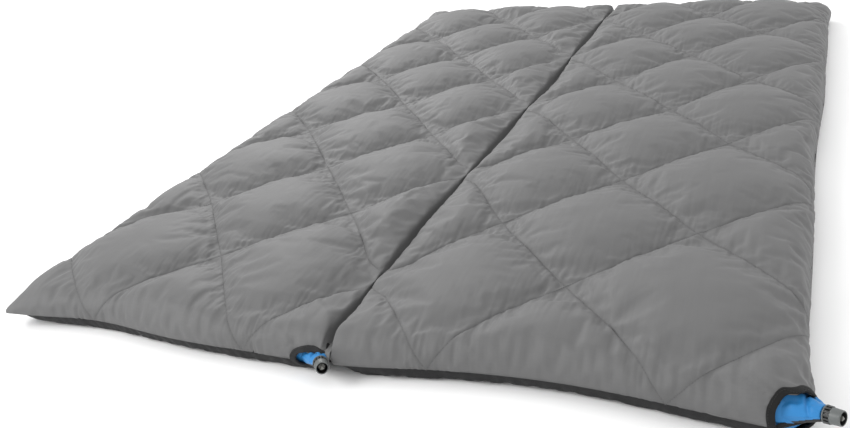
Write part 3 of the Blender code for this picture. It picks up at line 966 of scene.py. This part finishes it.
def makeHemCord(side):
    # elastic cord in the skirt's lower hem
    stations = outlineStations(cord["step"], cord["corner"])
    line = settle(aroundPad(side, stations, cord["angle"], bed["sideRadius"] + cord["radius"]))
    line[:, 2] = np.maximum(line[:, 2], cord["radius"] + cord["lift"])
    out = np.stack([sideSign[side] * stations[:, 2], stations[:, 3], np.zeros(len(stations))], -1)
    turns = [math.tau * n / cord["outline"] for n in range(cord["outline"])]
    rings = [line + cord["radius"] * (math.cos(turn) * out + math.sin(turn) * np.array((0, 0, 1)))
             for turn in turns]
    faces = ringFaces([n * len(line) for n in range(len(rings))] + [0], len(line), side == "left")
    mesh = meshFrom(f"{side}_hem_cord", np.concatenate(rings), faces)
    faceOutwards(mesh)
    mesh.materials.append(finish["elastic"])
    mesh.shade_smooth()
    return newObject(f"{side}_hem_cord", mesh)


innerWall = {
    "step": 0.02,
    "corner": 8,
    "facing": -0.3,          # it ends where the pad's side turns away from the seam
    "angles": [-24, -8, 8, 24, 40, 56, 72, 86],
    "offset": 0.0009,
    "thickness": 0.0006,
}


def makeInnerWall(side):
    # the cover's wall between its pocket and the seam, which shows when the halves are folded
    stations = outlineStations(innerWall["step"], innerWall["corner"])
    row = stations[stations[:, 2] < innerWall["facing"]]
    count = len(row)
    rings = [settle(aroundPad(side, row, angle, bed["sideRadius"] + innerWall["offset"]))
             for angle in innerWall["angles"]]
    faces = [(k * count + n, k * count + n + 1, (k + 1) * count + n + 1, (k + 1) * count + n)
             for k in range(len(rings) - 1) for n in range(count - 1)]
    points = np.concatenate(rings)
    flat = [(place[1], place[2]) for place in points]
    faces, _ = cutOpening(side, points, faces)
    mesh = meshFrom(f"{side}_inner_wall", points, faces)
    withMap(mesh, flat)
    faceOutwards(mesh)
    item = newObject(f"{side}_inner_wall", mesh)
    wall = item.modifiers.new("wall", "SOLIDIFY")
    wall.thickness = innerWall["thickness"]
    wall.offset = 0
    applied(item)
    item.data.materials.append(finish["lining"])
    item.data.shade_smooth()
    height = np.linalg.norm(np.diff(np.array(rings), axis=0), axis=2).mean(axis=1).sum()
    length = np.linalg.norm(np.diff(rings[0], axis=0), axis=1).sum()
    return item, (height, length)


tops = {side: makeTop(side) for side in sides}
skirts = {side: makeSkirt(side) for side in sides}
cords = {side: makeHemCord(side) for side in sides}
innerWalls = {side: makeInnerWall(side) for side in sides}
print("tops and skirts made:", {side: len(tops[side].data.polygons) for side in sides})


def startTree(name, inputs):
    # an empty Geometry Nodes tree, the identifiers of its inputs, and its two ends
    tree = bpy.data.node_groups.new(name, "GeometryNodeTree")
    face = tree.interface
    face.new_socket(name="Geometry", in_out="INPUT", socket_type="NodeSocketGeometry")
    sockets = {label: face.new_socket(name=label, in_out="INPUT", socket_type=kind).identifier
               for label, kind in inputs}
    face.new_socket(name="Geometry", in_out="OUTPUT", socket_type="NodeSocketGeometry")
    return tree, sockets, tree.nodes.new("NodeGroupInput"), tree.nodes.new("NodeGroupOutput")


def makeStitchTree():
    # stitches along a run of edges
    tree, sockets, source, result = startTree("stitchRow", [
        ("Pitch", "NodeSocketFloat"), ("Length", "NodeSocketFloat"),
        ("Thickness", "NodeSocketFloat"), ("Thread", "NodeSocketMaterial")])
    line = tree.nodes.new("GeometryNodeMeshToCurve")
    spaced = tree.nodes.new("GeometryNodeResampleCurve")
    spaced.mode = "LENGTH"
    bead = tree.nodes.new("GeometryNodeMeshIcoSphere")
    bead.inputs["Subdivisions"].default_value = 1
    shape = tree.nodes.new("GeometryNodeTransform")
    size = tree.nodes.new("ShaderNodeCombineXYZ")
    half = tree.nodes.new("ShaderNodeMath")
    half.operation = "MULTIPLY"
    half.inputs[1].default_value = 0.5
    tangent = tree.nodes.new("GeometryNodeInputTangent")
    align = tree.nodes.new("FunctionNodeAlignRotationToVector")
    align.axis = "Z"
    spread = tree.nodes.new("GeometryNodeInstanceOnPoints")
    real = tree.nodes.new("GeometryNodeRealizeInstances")
    coat = tree.nodes.new("GeometryNodeSetMaterial")
    link = tree.links.new
    link(source.outputs["Geometry"], line.inputs["Mesh"])
    link(line.outputs["Curve"], spaced.inputs["Curve"])
    link(source.outputs["Pitch"], spaced.inputs["Length"])
    link(source.outputs["Thickness"], size.inputs[0])
    link(source.outputs["Thickness"], size.inputs[1])
    link(source.outputs["Length"], half.inputs[0])
    link(half.outputs[0], size.inputs[2])
    link(bead.outputs["Mesh"], shape.inputs["Geometry"])
    link(size.outputs[0], shape.inputs["Scale"])
    link(spaced.outputs["Curve"], spread.inputs["Points"])
    link(shape.outputs["Geometry"], spread.inputs["Instance"])
    link(tangent.outputs[0], align.inputs["Vector"])
    link(align.outputs[0], spread.inputs["Rotation"])
    link(spread.outputs["Instances"], real.inputs["Geometry"])
    link(real.outputs["Geometry"], coat.inputs["Geometry"])
    link(source.outputs["Thread"], coat.inputs["Material"])
    link(coat.outputs["Geometry"], result.inputs["Geometry"])
    return tree, sockets


stitchTree, stitchSockets = makeStitchTree()


def sewn(name, runs, pitch, length, thickness, thread):
    # stitches along runs of points, as one plain mesh
    points, edges = [], []
    for run in runs:
        first = len(points)
        points += list(run)
        edges += [(first + k, first + k + 1) for k in range(len(run) - 1)]
    item = newObject(name, meshFrom(name, points, [], edges))
    modifier = item.modifiers.new("stitches", "NODES")
    modifier.node_group = stitchTree
    modifier[stitchSockets["Pitch"]] = pitch
    modifier[stitchSockets["Length"]] = length
    modifier[stitchSockets["Thickness"]] = thickness
    modifier[stitchSockets["Thread"]] = thread
    applied(item)
    if not item.data.materials:
        item.data.materials.append(thread)
    item.data.shade_smooth()
    return item


# Pitch, length and thickness of the stitches
sewing = {
    "quilting": (0.0042, 0.0032, 0.00042),
    "binding": (0.0034, 0.0026, 0.00035),
    "seam": (0.0045, 0.0034, 0.0004),
    "above": 0.0002,         # how far the stitches stand off the cloth
    "edge": 0.012,           # the quilting stops this far from the seam
    "search": 0.03,
    "astray": 0.006,         # no stitch where the cloth lies further from its line than this
}


def surfaceOf(*items):
    # one search tree over the faces of several pieces
    points, faces = [], []
    for item in items:
        first = len(points)
        points += [vertex.co.copy() for vertex in item.data.vertices]
        faces += [[first + k for k in face.vertices] for face in item.data.polygons]
    return BVHTree.FromPolygons(points, faces)


def quiltingRuns(side, tree):
    # the quilting lines of one half, laid on the finished cloth
    u, v, across, along = flatGrid(cells)
    points = starts[side]["points"].reshape(*u.shape, 3)
    last = (u.shape[0] - 1, u.shape[1] - 1)
    runs = []
    for way in (1, -1):
        for first in range(-10, 11):
            run = []
            for i in range(last[0] + 1):
                j = way * i + first * 2 * cells + 5 * cells
                if 0 <= j <= last[1]:
                    place = Vector(points[i, j])
                    found, normal, *_ = tree.find_nearest(place, sewing["search"])
                    onTop = across[i, j] > sewing["edge"] and found is not None
                    if onTop and (found - place).length < sewing["astray"]:
                        run.append(found + normal * sewing["above"])
            if len(run) > 3:
                runs.append(run)
    return runs


topTrees = {side: surfaceOf(tops[side]) for side in sides}
quilting = {side: sewn(f"{side}_quilting_thread", quiltingRuns(side, topTrees[side]),
                       *sewing["quilting"], finish["thread"]) for side in sides}


binding = {
    "samples": 120,
    "width": 0.0075,
    "thickness": 0.0021,
    "inside": 0.0030,        # how far the tape laps over the edge
    "edge": 0.0015,          # where the cover is looked for, beyond the cut-out's edge
    "outline": 14,
    "boxy": (0.35, 0.8),     # how square the tape's outline is, across and up
    "raise": 0.0003,
    "lowest": 0.0006,
    "seamGap": 0.0015,
    "look": (0.12, 0.22),    # how far out the search for the cover starts, and its length
    "lookLowest": 0.0035,
    "spread": 0.03,          # furthest that the edge may stray from its middle depth
    "threadPlace": 0.72,     # share of the tape's width
    "color": {"left": "bindingGrey", "right": "bindingDark"},
}


def edgeRing(side, radius, trees):
    # places on the cover round its cut-out, found by looking in along the cut-out's axis
    origin, direction = openingPlace(side)
    sideways = Vector((-direction.y, direction.x, 0)).normalized()
    upright = direction.cross(-sideways).normalized()
    if upright.z < 0:
        upright.negate()
    out, length = binding["look"]
    places, depths = [], []
    for k in range(binding["samples"]):
        turn = math.tau * k / binding["samples"]
        way = sideways * math.cos(turn) + upright * (math.sin(turn) * opening[side]["flat"])
        start = origin + way * radius + direction * out
        start.z = max(start.z, binding["lookLowest"])
        hits = [tree.ray_cast(start, -direction, length) for tree in trees]
        reached = [hit[3] for hit in hits if hit[0] is not None]
        places.append(start)
        depths.append(out - min(reached) if reached else None)
    known = [depth for depth in depths if depth is not None]
    level = sorted(known)[len(known) // 2]
    values = np.array([level if depth is None else depth for depth in depths])
    values = np.clip(values, level - binding["spread"], level + binding["spread"])
    for _ in range(4):
        values = (np.roll(values, 1) + 2 * values + np.roll(values, -1)) / 4
    return [start + direction * (value - out) for start, value in zip(places, values)], direction


def boxed(value, power):
    # a sine or cosine made squarer
    return math.copysign(abs(value) ** power, value)


def makeBinding(side):
    trees = [topTrees[side], surfaceOf(skirts[side])]
    radius = opening[side]["radius"]
    inner, direction = edgeRing(side, radius + binding["edge"], trees)
    outer, _ = edgeRing(side, radius + binding["width"], trees)
    points, flat = [], []
    lap = binding["inside"] + binding["width"]
    count = binding["outline"]
    squareAcross, squareUp = binding["boxy"]
    run = 0.0
    for k, (near, far) in enumerate(zip(inner, outer)):
        across = (far - near).normalized()
        along = (inner[(k + 1) % len(inner)] - inner[k - 1]).normalized()
        raised = across.cross(along).normalized()
        if raised.dot(direction) < 0:
            raised.negate()
        run += (near - inner[k - 1]).length if k else 0
        for n in range(count):
            turn = math.tau * n / count
            wide = boxed(math.cos(turn), squareAcross) * lap / 2
            high = boxed(math.sin(turn), squareUp) * binding["thickness"]
            place = near + across * (lap / 2 - binding["inside"] - binding["edge"] + wide)
            place += raised * (high + binding["raise"])
            if side == "left":
                place.x = min(place.x, bed["seamX"] - binding["seamGap"])
            place.z = max(place.z, binding["lowest"])
            points.append(place)
            flat.append((run, lap * n / count))
    faces = ringFaces([k * count for k in range(len(inner))] + [0], count, True)
    mesh = meshFrom(f"{side}_opening_binding", points, faces)
    withMap(mesh, flat)
    faceOutwards(mesh)
    mesh.materials.append(finish[binding["color"][side]])
    mesh.shade_smooth()
    item = newObject(f"{side}_opening_binding", mesh)
    tree = surfaceOf(item)
    row = []
    for near, far in zip(inner, outer):
        place = near + (far - near).normalized() * (binding["width"] * binding["threadPlace"])
        found, normal, *_ = tree.ray_cast(place + direction * 0.02, -direction, 0.05)
        if found is not None:
            row.append(found + normal * sewing["above"])
    return item, sewn(f"{side}_binding_thread", [row], *sewing["binding"], finish["threadDark"])


bindings = {side: makeBinding(side) for side in sides}
print("sewing and bindings made:", {side: len(quilting[side].data.polygons) for side in sides})


pad = {
    "step": 0.030,
    "corner": 10,
    "angles": [88, 78, 66, 54, 42, 30, 18, 8, 3, 0, -3, -8, -18, -30, -42, -54, -66, -78, -88],
    "weld": 0.0010,          # raised weld round the middle
    "weldAngle": 4,
    "crown": [0.06, 0.16, 0.32, 0.55, 0.80, 0.97],   # rings over the flat faces, as shares of the way in
    "shrink": {"top": 0.0006, "side": 0.0008, "under": 0.0002},   # so that it clears the cover
    "lowest": 0.0004,
    "underside": -35.0,      # the dark underside starts at this angle
}


def drawnIn(stations, share):
    # the outline drawn in towards the middle of a pad
    middle = (bed["near"] + bed["far"]) / 2
    reachY = bed["end"] - (bed["far"] - bed["near"]) / 2
    inner = stations.copy()
    inner[:, 0] += (middle - inner[:, 0]) * share
    inner[:, 1] += (np.clip(inner[:, 1], -reachY, reachY) - inner[:, 1]) * share
    return inner


def makePad(side):
    stations = outlineStations(pad["step"], pad["corner"])
    count = len(stations)
    radius = {part: bed["sideRadius"] - less for part, less in pad["shrink"].items()}
    rings = [aroundPad(side, drawnIn(stations, share), 90, radius["top"])
             for share in reversed(pad["crown"])]
    for angle in pad["angles"]:
        swell = pad["weld"] * max(0, 1 - (angle / pad["weldAngle"]) ** 2)
        rings.append(aroundPad(side, stations, angle, radius["side"] + swell))
    rings += [aroundPad(side, drawnIn(stations, share), -90, radius["under"])
              for share in pad["crown"]]
    points = settle(np.concatenate(rings))
    points[:, 2] = np.maximum(points[:, 2], pad["lowest"])
    faces = ringFaces([k * count for k in range(len(rings))], count, side == "left")
    top = tuple(range(count))
    faces.append(top if side == "right" else top[::-1])
    under = tuple(range(len(points) - count, len(points)))
    faces.append(under[::-1] if side == "right" else under)
    mesh = meshFrom(f"{side}_pad", points, faces)
    mesh.materials.append(finish["padTop"])
    mesh.materials.append(finish["padUnder"])
    limit = bed["sideRadius"] * (1 + math.sin(math.radians(pad["underside"])))
    for face in mesh.polygons:
        face.material_index = 1 if face.center.z < limit else 0
    bm = bmesh.new()
    bm.from_mesh(mesh)
    bmesh.ops.triangulate(bm, faces=[face for face in bm.faces if len(face.verts) > 4])
    bmesh.ops.recalc_face_normals(bm, faces=bm.faces)
    bm.to_mesh(mesh)
    bm.free()
    mesh.shade_smooth()
    return newObject(f"{side}_pad", mesh)


tongue = {
    "rings": 60,
    "sides": 72,
    "start": -0.060,         # along the valve's axis, from the stem's start
    "end": 0.0084,
    "rootHalfWidth": {"left": 0.030, "right": 0.036},
    "rootUp": {"left": 0.014, "right": 0.021},
    "rootDown": 0.027,
    "tipRadius": 0.0098,
    "tapering": 1.15,
    "weldLip": 0.0016,
    "lowest": 0.0012,
    "foldPlace": (0.016, 0.010),   # how far behind the stem's start the fold lies, and its slant
    "swell": {"left": 0.3, "right": 1.3},
    "pouch": 0.0042,         # how high the skin stands behind the fold
    "pouchEdge": 0.0016,
    "pouchEnd": 1.7,
    "foldDepth": 0.0036,
    "foldWidth": 0.0022,
    "creases": 0.0012,       # soft creases running to the valve
    "crumple": 0.0034,
    "crumpleScale": (2.6, 6.0),
}


def tongueLift(side, along, share, across):
    # height of the skin's upper side: a pouch behind, a fold across it, and soft creases
    place, slant = tongue["foldPlace"]
    fold = along + place - slant * across
    pouch = 1 / (1 + math.exp(fold / tongue["pouchEdge"]))
    bulge = pouch * (1 - across ** 2) * math.sin(math.pi * min(1, max(0, share * tongue["pouchEnd"])))
    crumpleX, crumpleY = tongue["crumpleScale"]
    spot = Vector((across * crumpleX, share * crumpleY, sideSign[side] * 2.0))
    lift = tongue["pouch"] * tongue["swell"][side] * bulge
    lift -= tongue["foldDepth"] * math.exp(-((fold - 0.003) / tongue["foldWidth"]) ** 2)
    lift += tongue["creases"] * math.sin(across * 7.0 + share * 2.0) * share * (1 - share) * 3
    return lift + tongue["crumple"] * noise.noise(spot)


def makeTongue(side):
    # the corner that each pad is drawn out into, up to its valve
    root, direction = valvePlace(side)
    sideways = direction.cross(Vector((0, 0, 1))).normalized()   # to the right, seen from the bed
    upright = sideways.cross(direction).normalized()
    points = []
    for k in range(tongue["rings"]):
        share = k / (tongue["rings"] - 1)
        along = tongue["start"] + (tongue["end"] - tongue["start"]) * share
        ease = share ** tongue["tapering"]
        halfWidth = tongue["rootHalfWidth"][side] * (1 - ease) + tongue["tipRadius"] * ease
        up = tongue["rootUp"][side] * (1 - ease) + tongue["tipRadius"] * ease
        down = tongue["rootDown"] * (1 - ease) + tongue["tipRadius"] * ease
        for n in range(tongue["sides"]):
            turn = math.tau * n / tongue["sides"]
            x = boxed(math.cos(turn), 0.80 + 0.20 * share) * halfWidth
            z = math.sin(turn) * (up if math.sin(turn) > 0 else down)
            if math.sin(turn) > 0.05:
                z += tongueLift(side, along, share, x / halfWidth) * min(1, (1 - share) * 6)
            edge = math.exp(-(math.sin(turn) / 0.10) ** 2)
            x += math.copysign(tongue["weldLip"] * edge * (1 - 0.6 * share), x)
            place = root + direction * along + sideways * x + upright * z
            place.z = max(place.z, tongue["lowest"])
            points.append(place)
    around = tongue["sides"]
    faces = ringFaces([k * around for k in range(tongue["rings"])], around, True)
    faces.append(tuple(range(around)))
    faces.append(tuple(range(len(points) - 1, len(points) - 1 - around, -1)))
    mesh = meshFrom(f"{side}_pad_tongue", points, faces)
    mesh.materials.append(finish["padTop"])
    mesh.materials.append(finish["padUnder"])
    for face in mesh.polygons[:-2]:
        turn = math.tau * (face.index % around + 0.5) / around
        share = face.index // around / tongue["rings"]
        face.material_index = 0 if math.sin(turn) > -0.92 + 0.72 * share else 1
    faceOutwards(mesh)
    item = newObject(f"{side}_pad_tongue", mesh)
    subdivided(item)
    applied(item)
    item.data.shade_smooth()
    return item


pads = {side: makePad(side) for side in sides}
tongues = {side: makeTongue(side) for side in sides}
print("pads made")


valve = {
    "segments": 96,
    "start": 0.0098,                # the knob's back, along the valve
    "flange": (0.0113, 0.0016),     # radius and length of the knob's back rim
    "waist": 0.0086,                # bottom of the slots
    "frontRim": 0.0078,             # where the slots end, along the knob
    "barrel": (0.0100, 0.0094),     # radius, and place along the knob
    "mouth": (0.0093, 0.0212),
    "bore": 0.0078,
    "rounding": 0.0004,
    "fins": 14,
    "finWidth": 0.0021,
    "finHeight": 0.0021,
    "finRounding": 0.0003,
}


def latheMesh(name, profile, segments, black=()):
    # a closed profile of (radius, height) turned about Z; some stretches take the second finish
    bm = bmesh.new()
    rings = []
    for radius, height in profile:
        rings.append([bm.verts.new((radius * math.cos(math.tau * k / segments),
                                    radius * math.sin(math.tau * k / segments), height))
                      for k in range(segments)])
    for number in range(len(rings)):
        upper, lower = rings[number], rings[(number + 1) % len(rings)]
        for k in range(segments):
            after = (k + 1) % segments
            face = bm.faces.new((upper[k], upper[after], lower[after], lower[k]))
            face.material_index = 1 if number in black else 0
            face.smooth = True
    bmesh.ops.recalc_face_normals(bm, faces=bm.faces)
    mesh = bpy.data.meshes.new(name)
    bm.to_mesh(mesh)
    bm.free()
    return mesh


def makeFinTree():
    # fins set round a ring
    tree, sockets, source, result = startTree("finRing", [
        ("Count", "NodeSocketInt"), ("Radius", "NodeSocketFloat"),
        ("Size", "NodeSocketVector"), ("Finish", "NodeSocketMaterial")])
    ring = tree.nodes.new("GeometryNodeMeshCircle")
    fin = tree.nodes.new("GeometryNodeMeshCube")
    index = tree.nodes.new("GeometryNodeInputIndex")
    step = tree.nodes.new("ShaderNodeMath")
    step.operation = "DIVIDE"
    step.inputs[0].default_value = math.tau
    turn = tree.nodes.new("ShaderNodeMath")
    turn.operation = "MULTIPLY"
    angles = tree.nodes.new("ShaderNodeCombineXYZ")
    spread = tree.nodes.new("GeometryNodeInstanceOnPoints")
    real = tree.nodes.new("GeometryNodeRealizeInstances")
    coat = tree.nodes.new("GeometryNodeSetMaterial")
    both = tree.nodes.new("GeometryNodeJoinGeometry")
    link = tree.links.new
    link(source.outputs["Count"], ring.inputs["Vertices"])
    link(source.outputs["Radius"], ring.inputs["Radius"])
    link(source.outputs["Size"], fin.inputs["Size"])
    link(source.outputs["Count"], step.inputs[1])
    link(step.outputs[0], turn.inputs[0])
    link(index.outputs[0], turn.inputs[1])
    link(turn.outputs[0], angles.inputs[2])
    link(ring.outputs["Mesh"], spread.inputs["Points"])
    link(fin.outputs["Mesh"], spread.inputs["Instance"])
    link(angles.outputs[0], spread.inputs["Rotation"])
    link(spread.outputs["Instances"], real.inputs["Geometry"])
    link(real.outputs["Geometry"], coat.inputs["Geometry"])
    link(source.outputs["Finish"], coat.inputs["Material"])
    link(coat.outputs["Geometry"], both.inputs["Geometry"])
    link(both.outputs["Geometry"], result.inputs["Geometry"])
    return tree, sockets


finTree, finSockets = makeFinTree()


def valveMatrix(side):
    root, direction = valvePlace(side)
    return Matrix.Translation(root) @ direction.to_track_quat("Z", "Y").to_matrix().to_4x4()


def makeKnob(side):
    flangeRadius, flangeEnd = valve["flange"]
    barrelRadius, barrelStart = valve["barrel"]
    mouthRadius, mouthEnd = valve["mouth"]
    soft = valve["rounding"]
    profile = [(valve["bore"], 0.0), (flangeRadius - soft, 0.0), (flangeRadius, soft),
               (flangeRadius, flangeEnd - soft), (flangeRadius - soft, flangeEnd),
               (valve["waist"], flangeEnd + 0.0002), (valve["waist"], valve["frontRim"] - 0.0002),
               (valve["waist"] + 0.0003, valve["frontRim"]), (barrelRadius, valve["frontRim"] + soft),
               (barrelRadius + 0.0002, barrelStart - 0.0008), (barrelRadius, barrelStart + 0.0006),
               (mouthRadius + 0.0003, mouthEnd - 0.0012), (mouthRadius, mouthEnd - 0.0004),
               (mouthRadius - 0.0005, mouthEnd), (valve["bore"] + 0.0004, mouthEnd),
               (valve["bore"], mouthEnd - 0.0005)]
    mesh = latheMesh(f"{side}_twist_knob", profile, valve["segments"], black={5, 14, 15})
    mesh.materials.append(finish["valveGrey"])
    mesh.materials.append(finish["valveBlack"])
    item = newObject(f"{side}_twist_knob", mesh)
    fins = newObject("fins", meshFrom("fins", [], []))
    modifier = fins.modifiers.new("fins", "NODES")
    modifier.node_group = finTree
    length = valve["frontRim"] - flangeEnd + 0.0008
    modifier[finSockets["Count"]] = valve["fins"]
    modifier[finSockets["Radius"]] = flangeRadius - valve["finHeight"] / 2 - valve["finRounding"]
    modifier[finSockets["Size"]] = (valve["finHeight"], valve["finWidth"], length)
    modifier[finSockets["Finish"]] = finish["valveGrey"]
    applied(fins)
    bm = bmesh.new()
    bm.from_mesh(item.data)
    start = len(bm.verts)
    bm.from_mesh(fins.data)
    bm.verts.ensure_lookup_table()
    finVerts = bm.verts[start:]
    finEdges = [edge for edge in bm.edges if edge.verts[0] in set(finVerts)]
    bmesh.ops.translate(bm, verts=finVerts, vec=(0, 0, (valve["frontRim"] + flangeEnd) / 2))
    bmesh.ops.bevel(bm, geom=finEdges, offset=valve["finRounding"], segments=2, affect="EDGES",
                    profile=0.5)
    place = valveMatrix(side) @ Matrix.Translation((0, 0, valve["start"]))
    bmesh.ops.transform(bm, matrix=place, verts=bm.verts)
    bm.to_mesh(item.data)
    bm.free()
    bpy.data.objects.remove(fins)
    item.data.set_sharp_from_angle(angle=math.radians(35))
    return item


knobs = {side: makeKnob(side) for side in sides}
print("valves made")


seam = {
    "width": 0.0030,
    "height": 0.0022,
    "outline": [(-1, -0.4), (-0.8, 0.6), (0, 1), (0.8, 0.6), (1, -0.4), (0, -1)],
    "above": 0.0006,         # over the joined edges of the tops
    "threadAbove": 0.0008,
    "tabWidth": 0.011,
    "tabThickness": 0.0016,
    "tabBack": (-0.004, 0.006),    # from the tab's back end, along and up
    # and from the seam's front end
    "tabFold": [(0.018, 0.008), (0.004, 0.006), (-0.0035, -0.001), (-0.0045, -0.010), (-0.0030, -0.018)],
}


def seamLine():
    # the joined edges of the two tops, front to back
    width = 10 * cells + 1
    first = starts["right"]["points"][:width]
    second = starts["left"]["points"][:width]
    return (first + second) / 2


def makeSeamBinding():
    line = seamLine()
    points = [(x + a * seam["width"] / 2, y, z + b * seam["height"] / 2 + seam["above"])
              for x, y, z in line for a, b in seam["outline"]]
    count = len(seam["outline"])
    faces = ringFaces([k * count for k in range(len(line))], count, False)
    faces.append(tuple(range(count)))
    faces.append(tuple(range(len(points) - 1, len(points) - 1 - count, -1)))
    mesh = meshFrom("centre_seam_binding", points, faces)
    withMap(mesh, [(point[1], point[0]) for point in points])
    faceOutwards(mesh)
    mesh.materials.append(finish["skirt"])
    mesh.shade_smooth()
    raised = Vector((0, 0, seam["height"] / 2 + seam["threadAbove"]))
    row = [Vector(point) + raised for point in line[2:-2]]
    thread = sewn("centre_seam_thread", [row], *sewing["seam"], finish["threadDark"])
    return newObject("centre_seam_binding", mesh), thread


def makeTab():
    # webbing that comes out of the seam's front end and is folded down over the hem
    front = Vector(seamLine()[0])
    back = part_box("front_seam_tab")[1][1]
    along, up = seam["tabBack"]
    route = [Vector((front.x, back + along, front.z + up))]
    route += [front + Vector((0, along, up)) for along, up in seam["tabFold"]]
    bm = bmesh.new()
    rows = []
    for k, place in enumerate(route):
        before, after = route[max(0, k - 1)], route[min(len(route) - 1, k + 1)]
        along = (after - before).normalized()
        out = Vector((1, 0, 0)).cross(along).normalized()
        if out.z < 0 or (abs(out.z) < 0.3 and out.y > 0):
            out.negate()
        half = seam["tabWidth"] / 2
        thick = seam["tabThickness"] / 2
        rows.append([bm.verts.new(place + Vector((a * half, 0, 0)) + out * b * thick)
                     for a, b in ((-1, -1), (-1, 1), (1, 1), (1, -1))])
    for upper, lower in zip(rows, rows[1:]):
        for n in range(4):
            m = (n + 1) % 4
            bm.faces.new((upper[n], upper[m], lower[m], lower[n]))
    bm.faces.new(rows[0])
    bm.faces.new(rows[-1][::-1])
    bmesh.ops.recalc_face_normals(bm, faces=bm.faces)
    layer = bm.loops.layers.uv.new("cloth")
    for face in bm.faces:
        for loop in face.loops:
            loop[layer].uv = (loop.vert.co.x, loop.vert.co.y - loop.vert.co.z)
    mesh = bpy.data.meshes.new("front_webbing_tab")
    bm.to_mesh(mesh)
    bm.free()
    mesh.materials.append(finish["webbing"])
    item = newObject("front_webbing_tab", mesh)
    edge = item.modifiers.new("edge", "BEVEL")
    edge.width = 0.0004
    edge.segments = 2
    edge.limit_method = "ANGLE"
    subdivided(item, 2)
    applied(item)
    item.data.shade_smooth()
    return item


seamBinding, seamThread = makeSeamBinding()
tab = makeTab()
print("seam made")


def acrossFold(item):
    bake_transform(item)


for side in sides:
    acrossFold(tops[side])
    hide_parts(f"{side}_top_shell", f"{side}_down_fill", f"{side}_lining")
    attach(skirts[side], f"{side}_half")
    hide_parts(f"{side}_skirt")
    inner, flat = innerWalls[side]
    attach(inner, f"{side}_half")
    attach(cords[side], f"{side}_half")
    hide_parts(f"{side}_hem_elastic")
    acrossFold(quilting[side])
    ring, ringThread = bindings[side]
    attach(ring, f"{side}_half")
    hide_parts(f"{side}_valve_binding")
    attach(ringThread, f"{side}_half")
    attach(pads[side], f"{side}_half")
    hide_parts(f"{side}_pad_skin", f"{side}_pad_core")
    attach(tongues[side], f"{side}_half")
    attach(knobs[side], f"{side}_knob")
    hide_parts(f"{side}_valve_knob")

acrossFold(seamBinding)
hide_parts("centre_seam_tape")
acrossFold(seamThread)
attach(tab, "left_half")
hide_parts("front_seam_tab")


def coat(node, material):
    # a new finish on a CAD node that stays
    item = frame["nodes"][node]
    item.data.materials.clear()
    item.data.materials.append(material)


for side in sides:
    coat(f"{side}_valve_base", finish["valveBlack"])
    coat(f"{side}_valve_stem", finish["valveTip"])
    coat(f"{side}_valve_seal", finish["rubber"])


stage = {
    "focal": 37.955,         # for a sensor 36 mm wide
    "yaw": 25.93,
    "pitch": 24.60,
    "roll": -7.72,
    "from": (0.6331, -1.9252, 0.7467),   # from the floor under the seam's middle
    "floor": 14.0,
    "sky": 0.62,
    # name, place, power and size
    "lights": [("key", (-2.6, 3.0, 2.3), 36, 1.5), ("fill", (3.0, 1.0, 2.6), 8, 2.5),
               ("front", (-2.2, -2.6, 2.2), 44, 1.6)],
}


def makeCamera():
    yaw, pitch, roll = (math.radians(stage[name]) for name in ("yaw", "pitch", "roll"))
    level = Vector((-math.sin(yaw), math.cos(yaw), 0))
    ahead = level * math.cos(pitch) - Vector((0, 0, math.sin(pitch)))
    right = Vector((math.cos(yaw), math.sin(yaw), 0))
    up = right.cross(ahead)
    turnedRight = math.cos(roll) * right + math.sin(roll) * up
    turnedUp = math.cos(roll) * up - math.sin(roll) * right
    turn = Matrix((turnedRight, turnedUp, -ahead)).transposed().to_4x4()
    eye = Vector(stage["from"]) + Vector((bed["seamX"], bed["middleY"], 0))
    camera = bpy.data.objects.new("camera", bpy.data.cameras.new("camera"))
    camera.data.sensor_width = 36
    camera.data.lens = stage["focal"]
    camera.data.clip_start = 0.05
    camera.matrix_world = Matrix.Translation(eye) @ turn
    bpy.context.scene.collection.objects.link(camera)
    bpy.context.scene.camera = camera


def makeStudio():
    bm = bmesh.new()
    bmesh.ops.create_grid(bm, x_segments=2, y_segments=2, size=stage["floor"] / 2)
    mesh = bpy.data.meshes.new("floor")
    bm.to_mesh(mesh)
    bm.free()
    floor = newObject("floor", mesh)
    floor.location.z = -0.0005
    pale, _, shader = startMaterial("paleFloor", 0.9)
    shader.inputs["Base Color"].default_value = (0.95, 0.95, 0.95, 1)
    mesh.materials.append(pale)

    world = bpy.data.worlds.new("studio")
    bpy.context.scene.world = world
    world.use_nodes = True
    sky = world.node_tree.nodes["Background"]
    sky.inputs["Color"].default_value = (1, 1, 1, 1)
    sky.inputs["Strength"].default_value = stage["sky"] * brightness
    for name, place, power, size in stage["lights"]:
        light = bpy.data.lights.new(name, "AREA")
        light.energy = power * brightness
        light.size = size
        item = bpy.data.objects.new(name, light)
        item.location = place
        item.rotation_euler = (-Vector(place)).to_track_quat("-Z", "Y").to_euler()
        bpy.context.scene.collection.objects.link(item)
    bpy.context.scene.view_settings.view_transform = "Standard"


makeCamera()
makeStudio()
print("camera, floor and lights made")
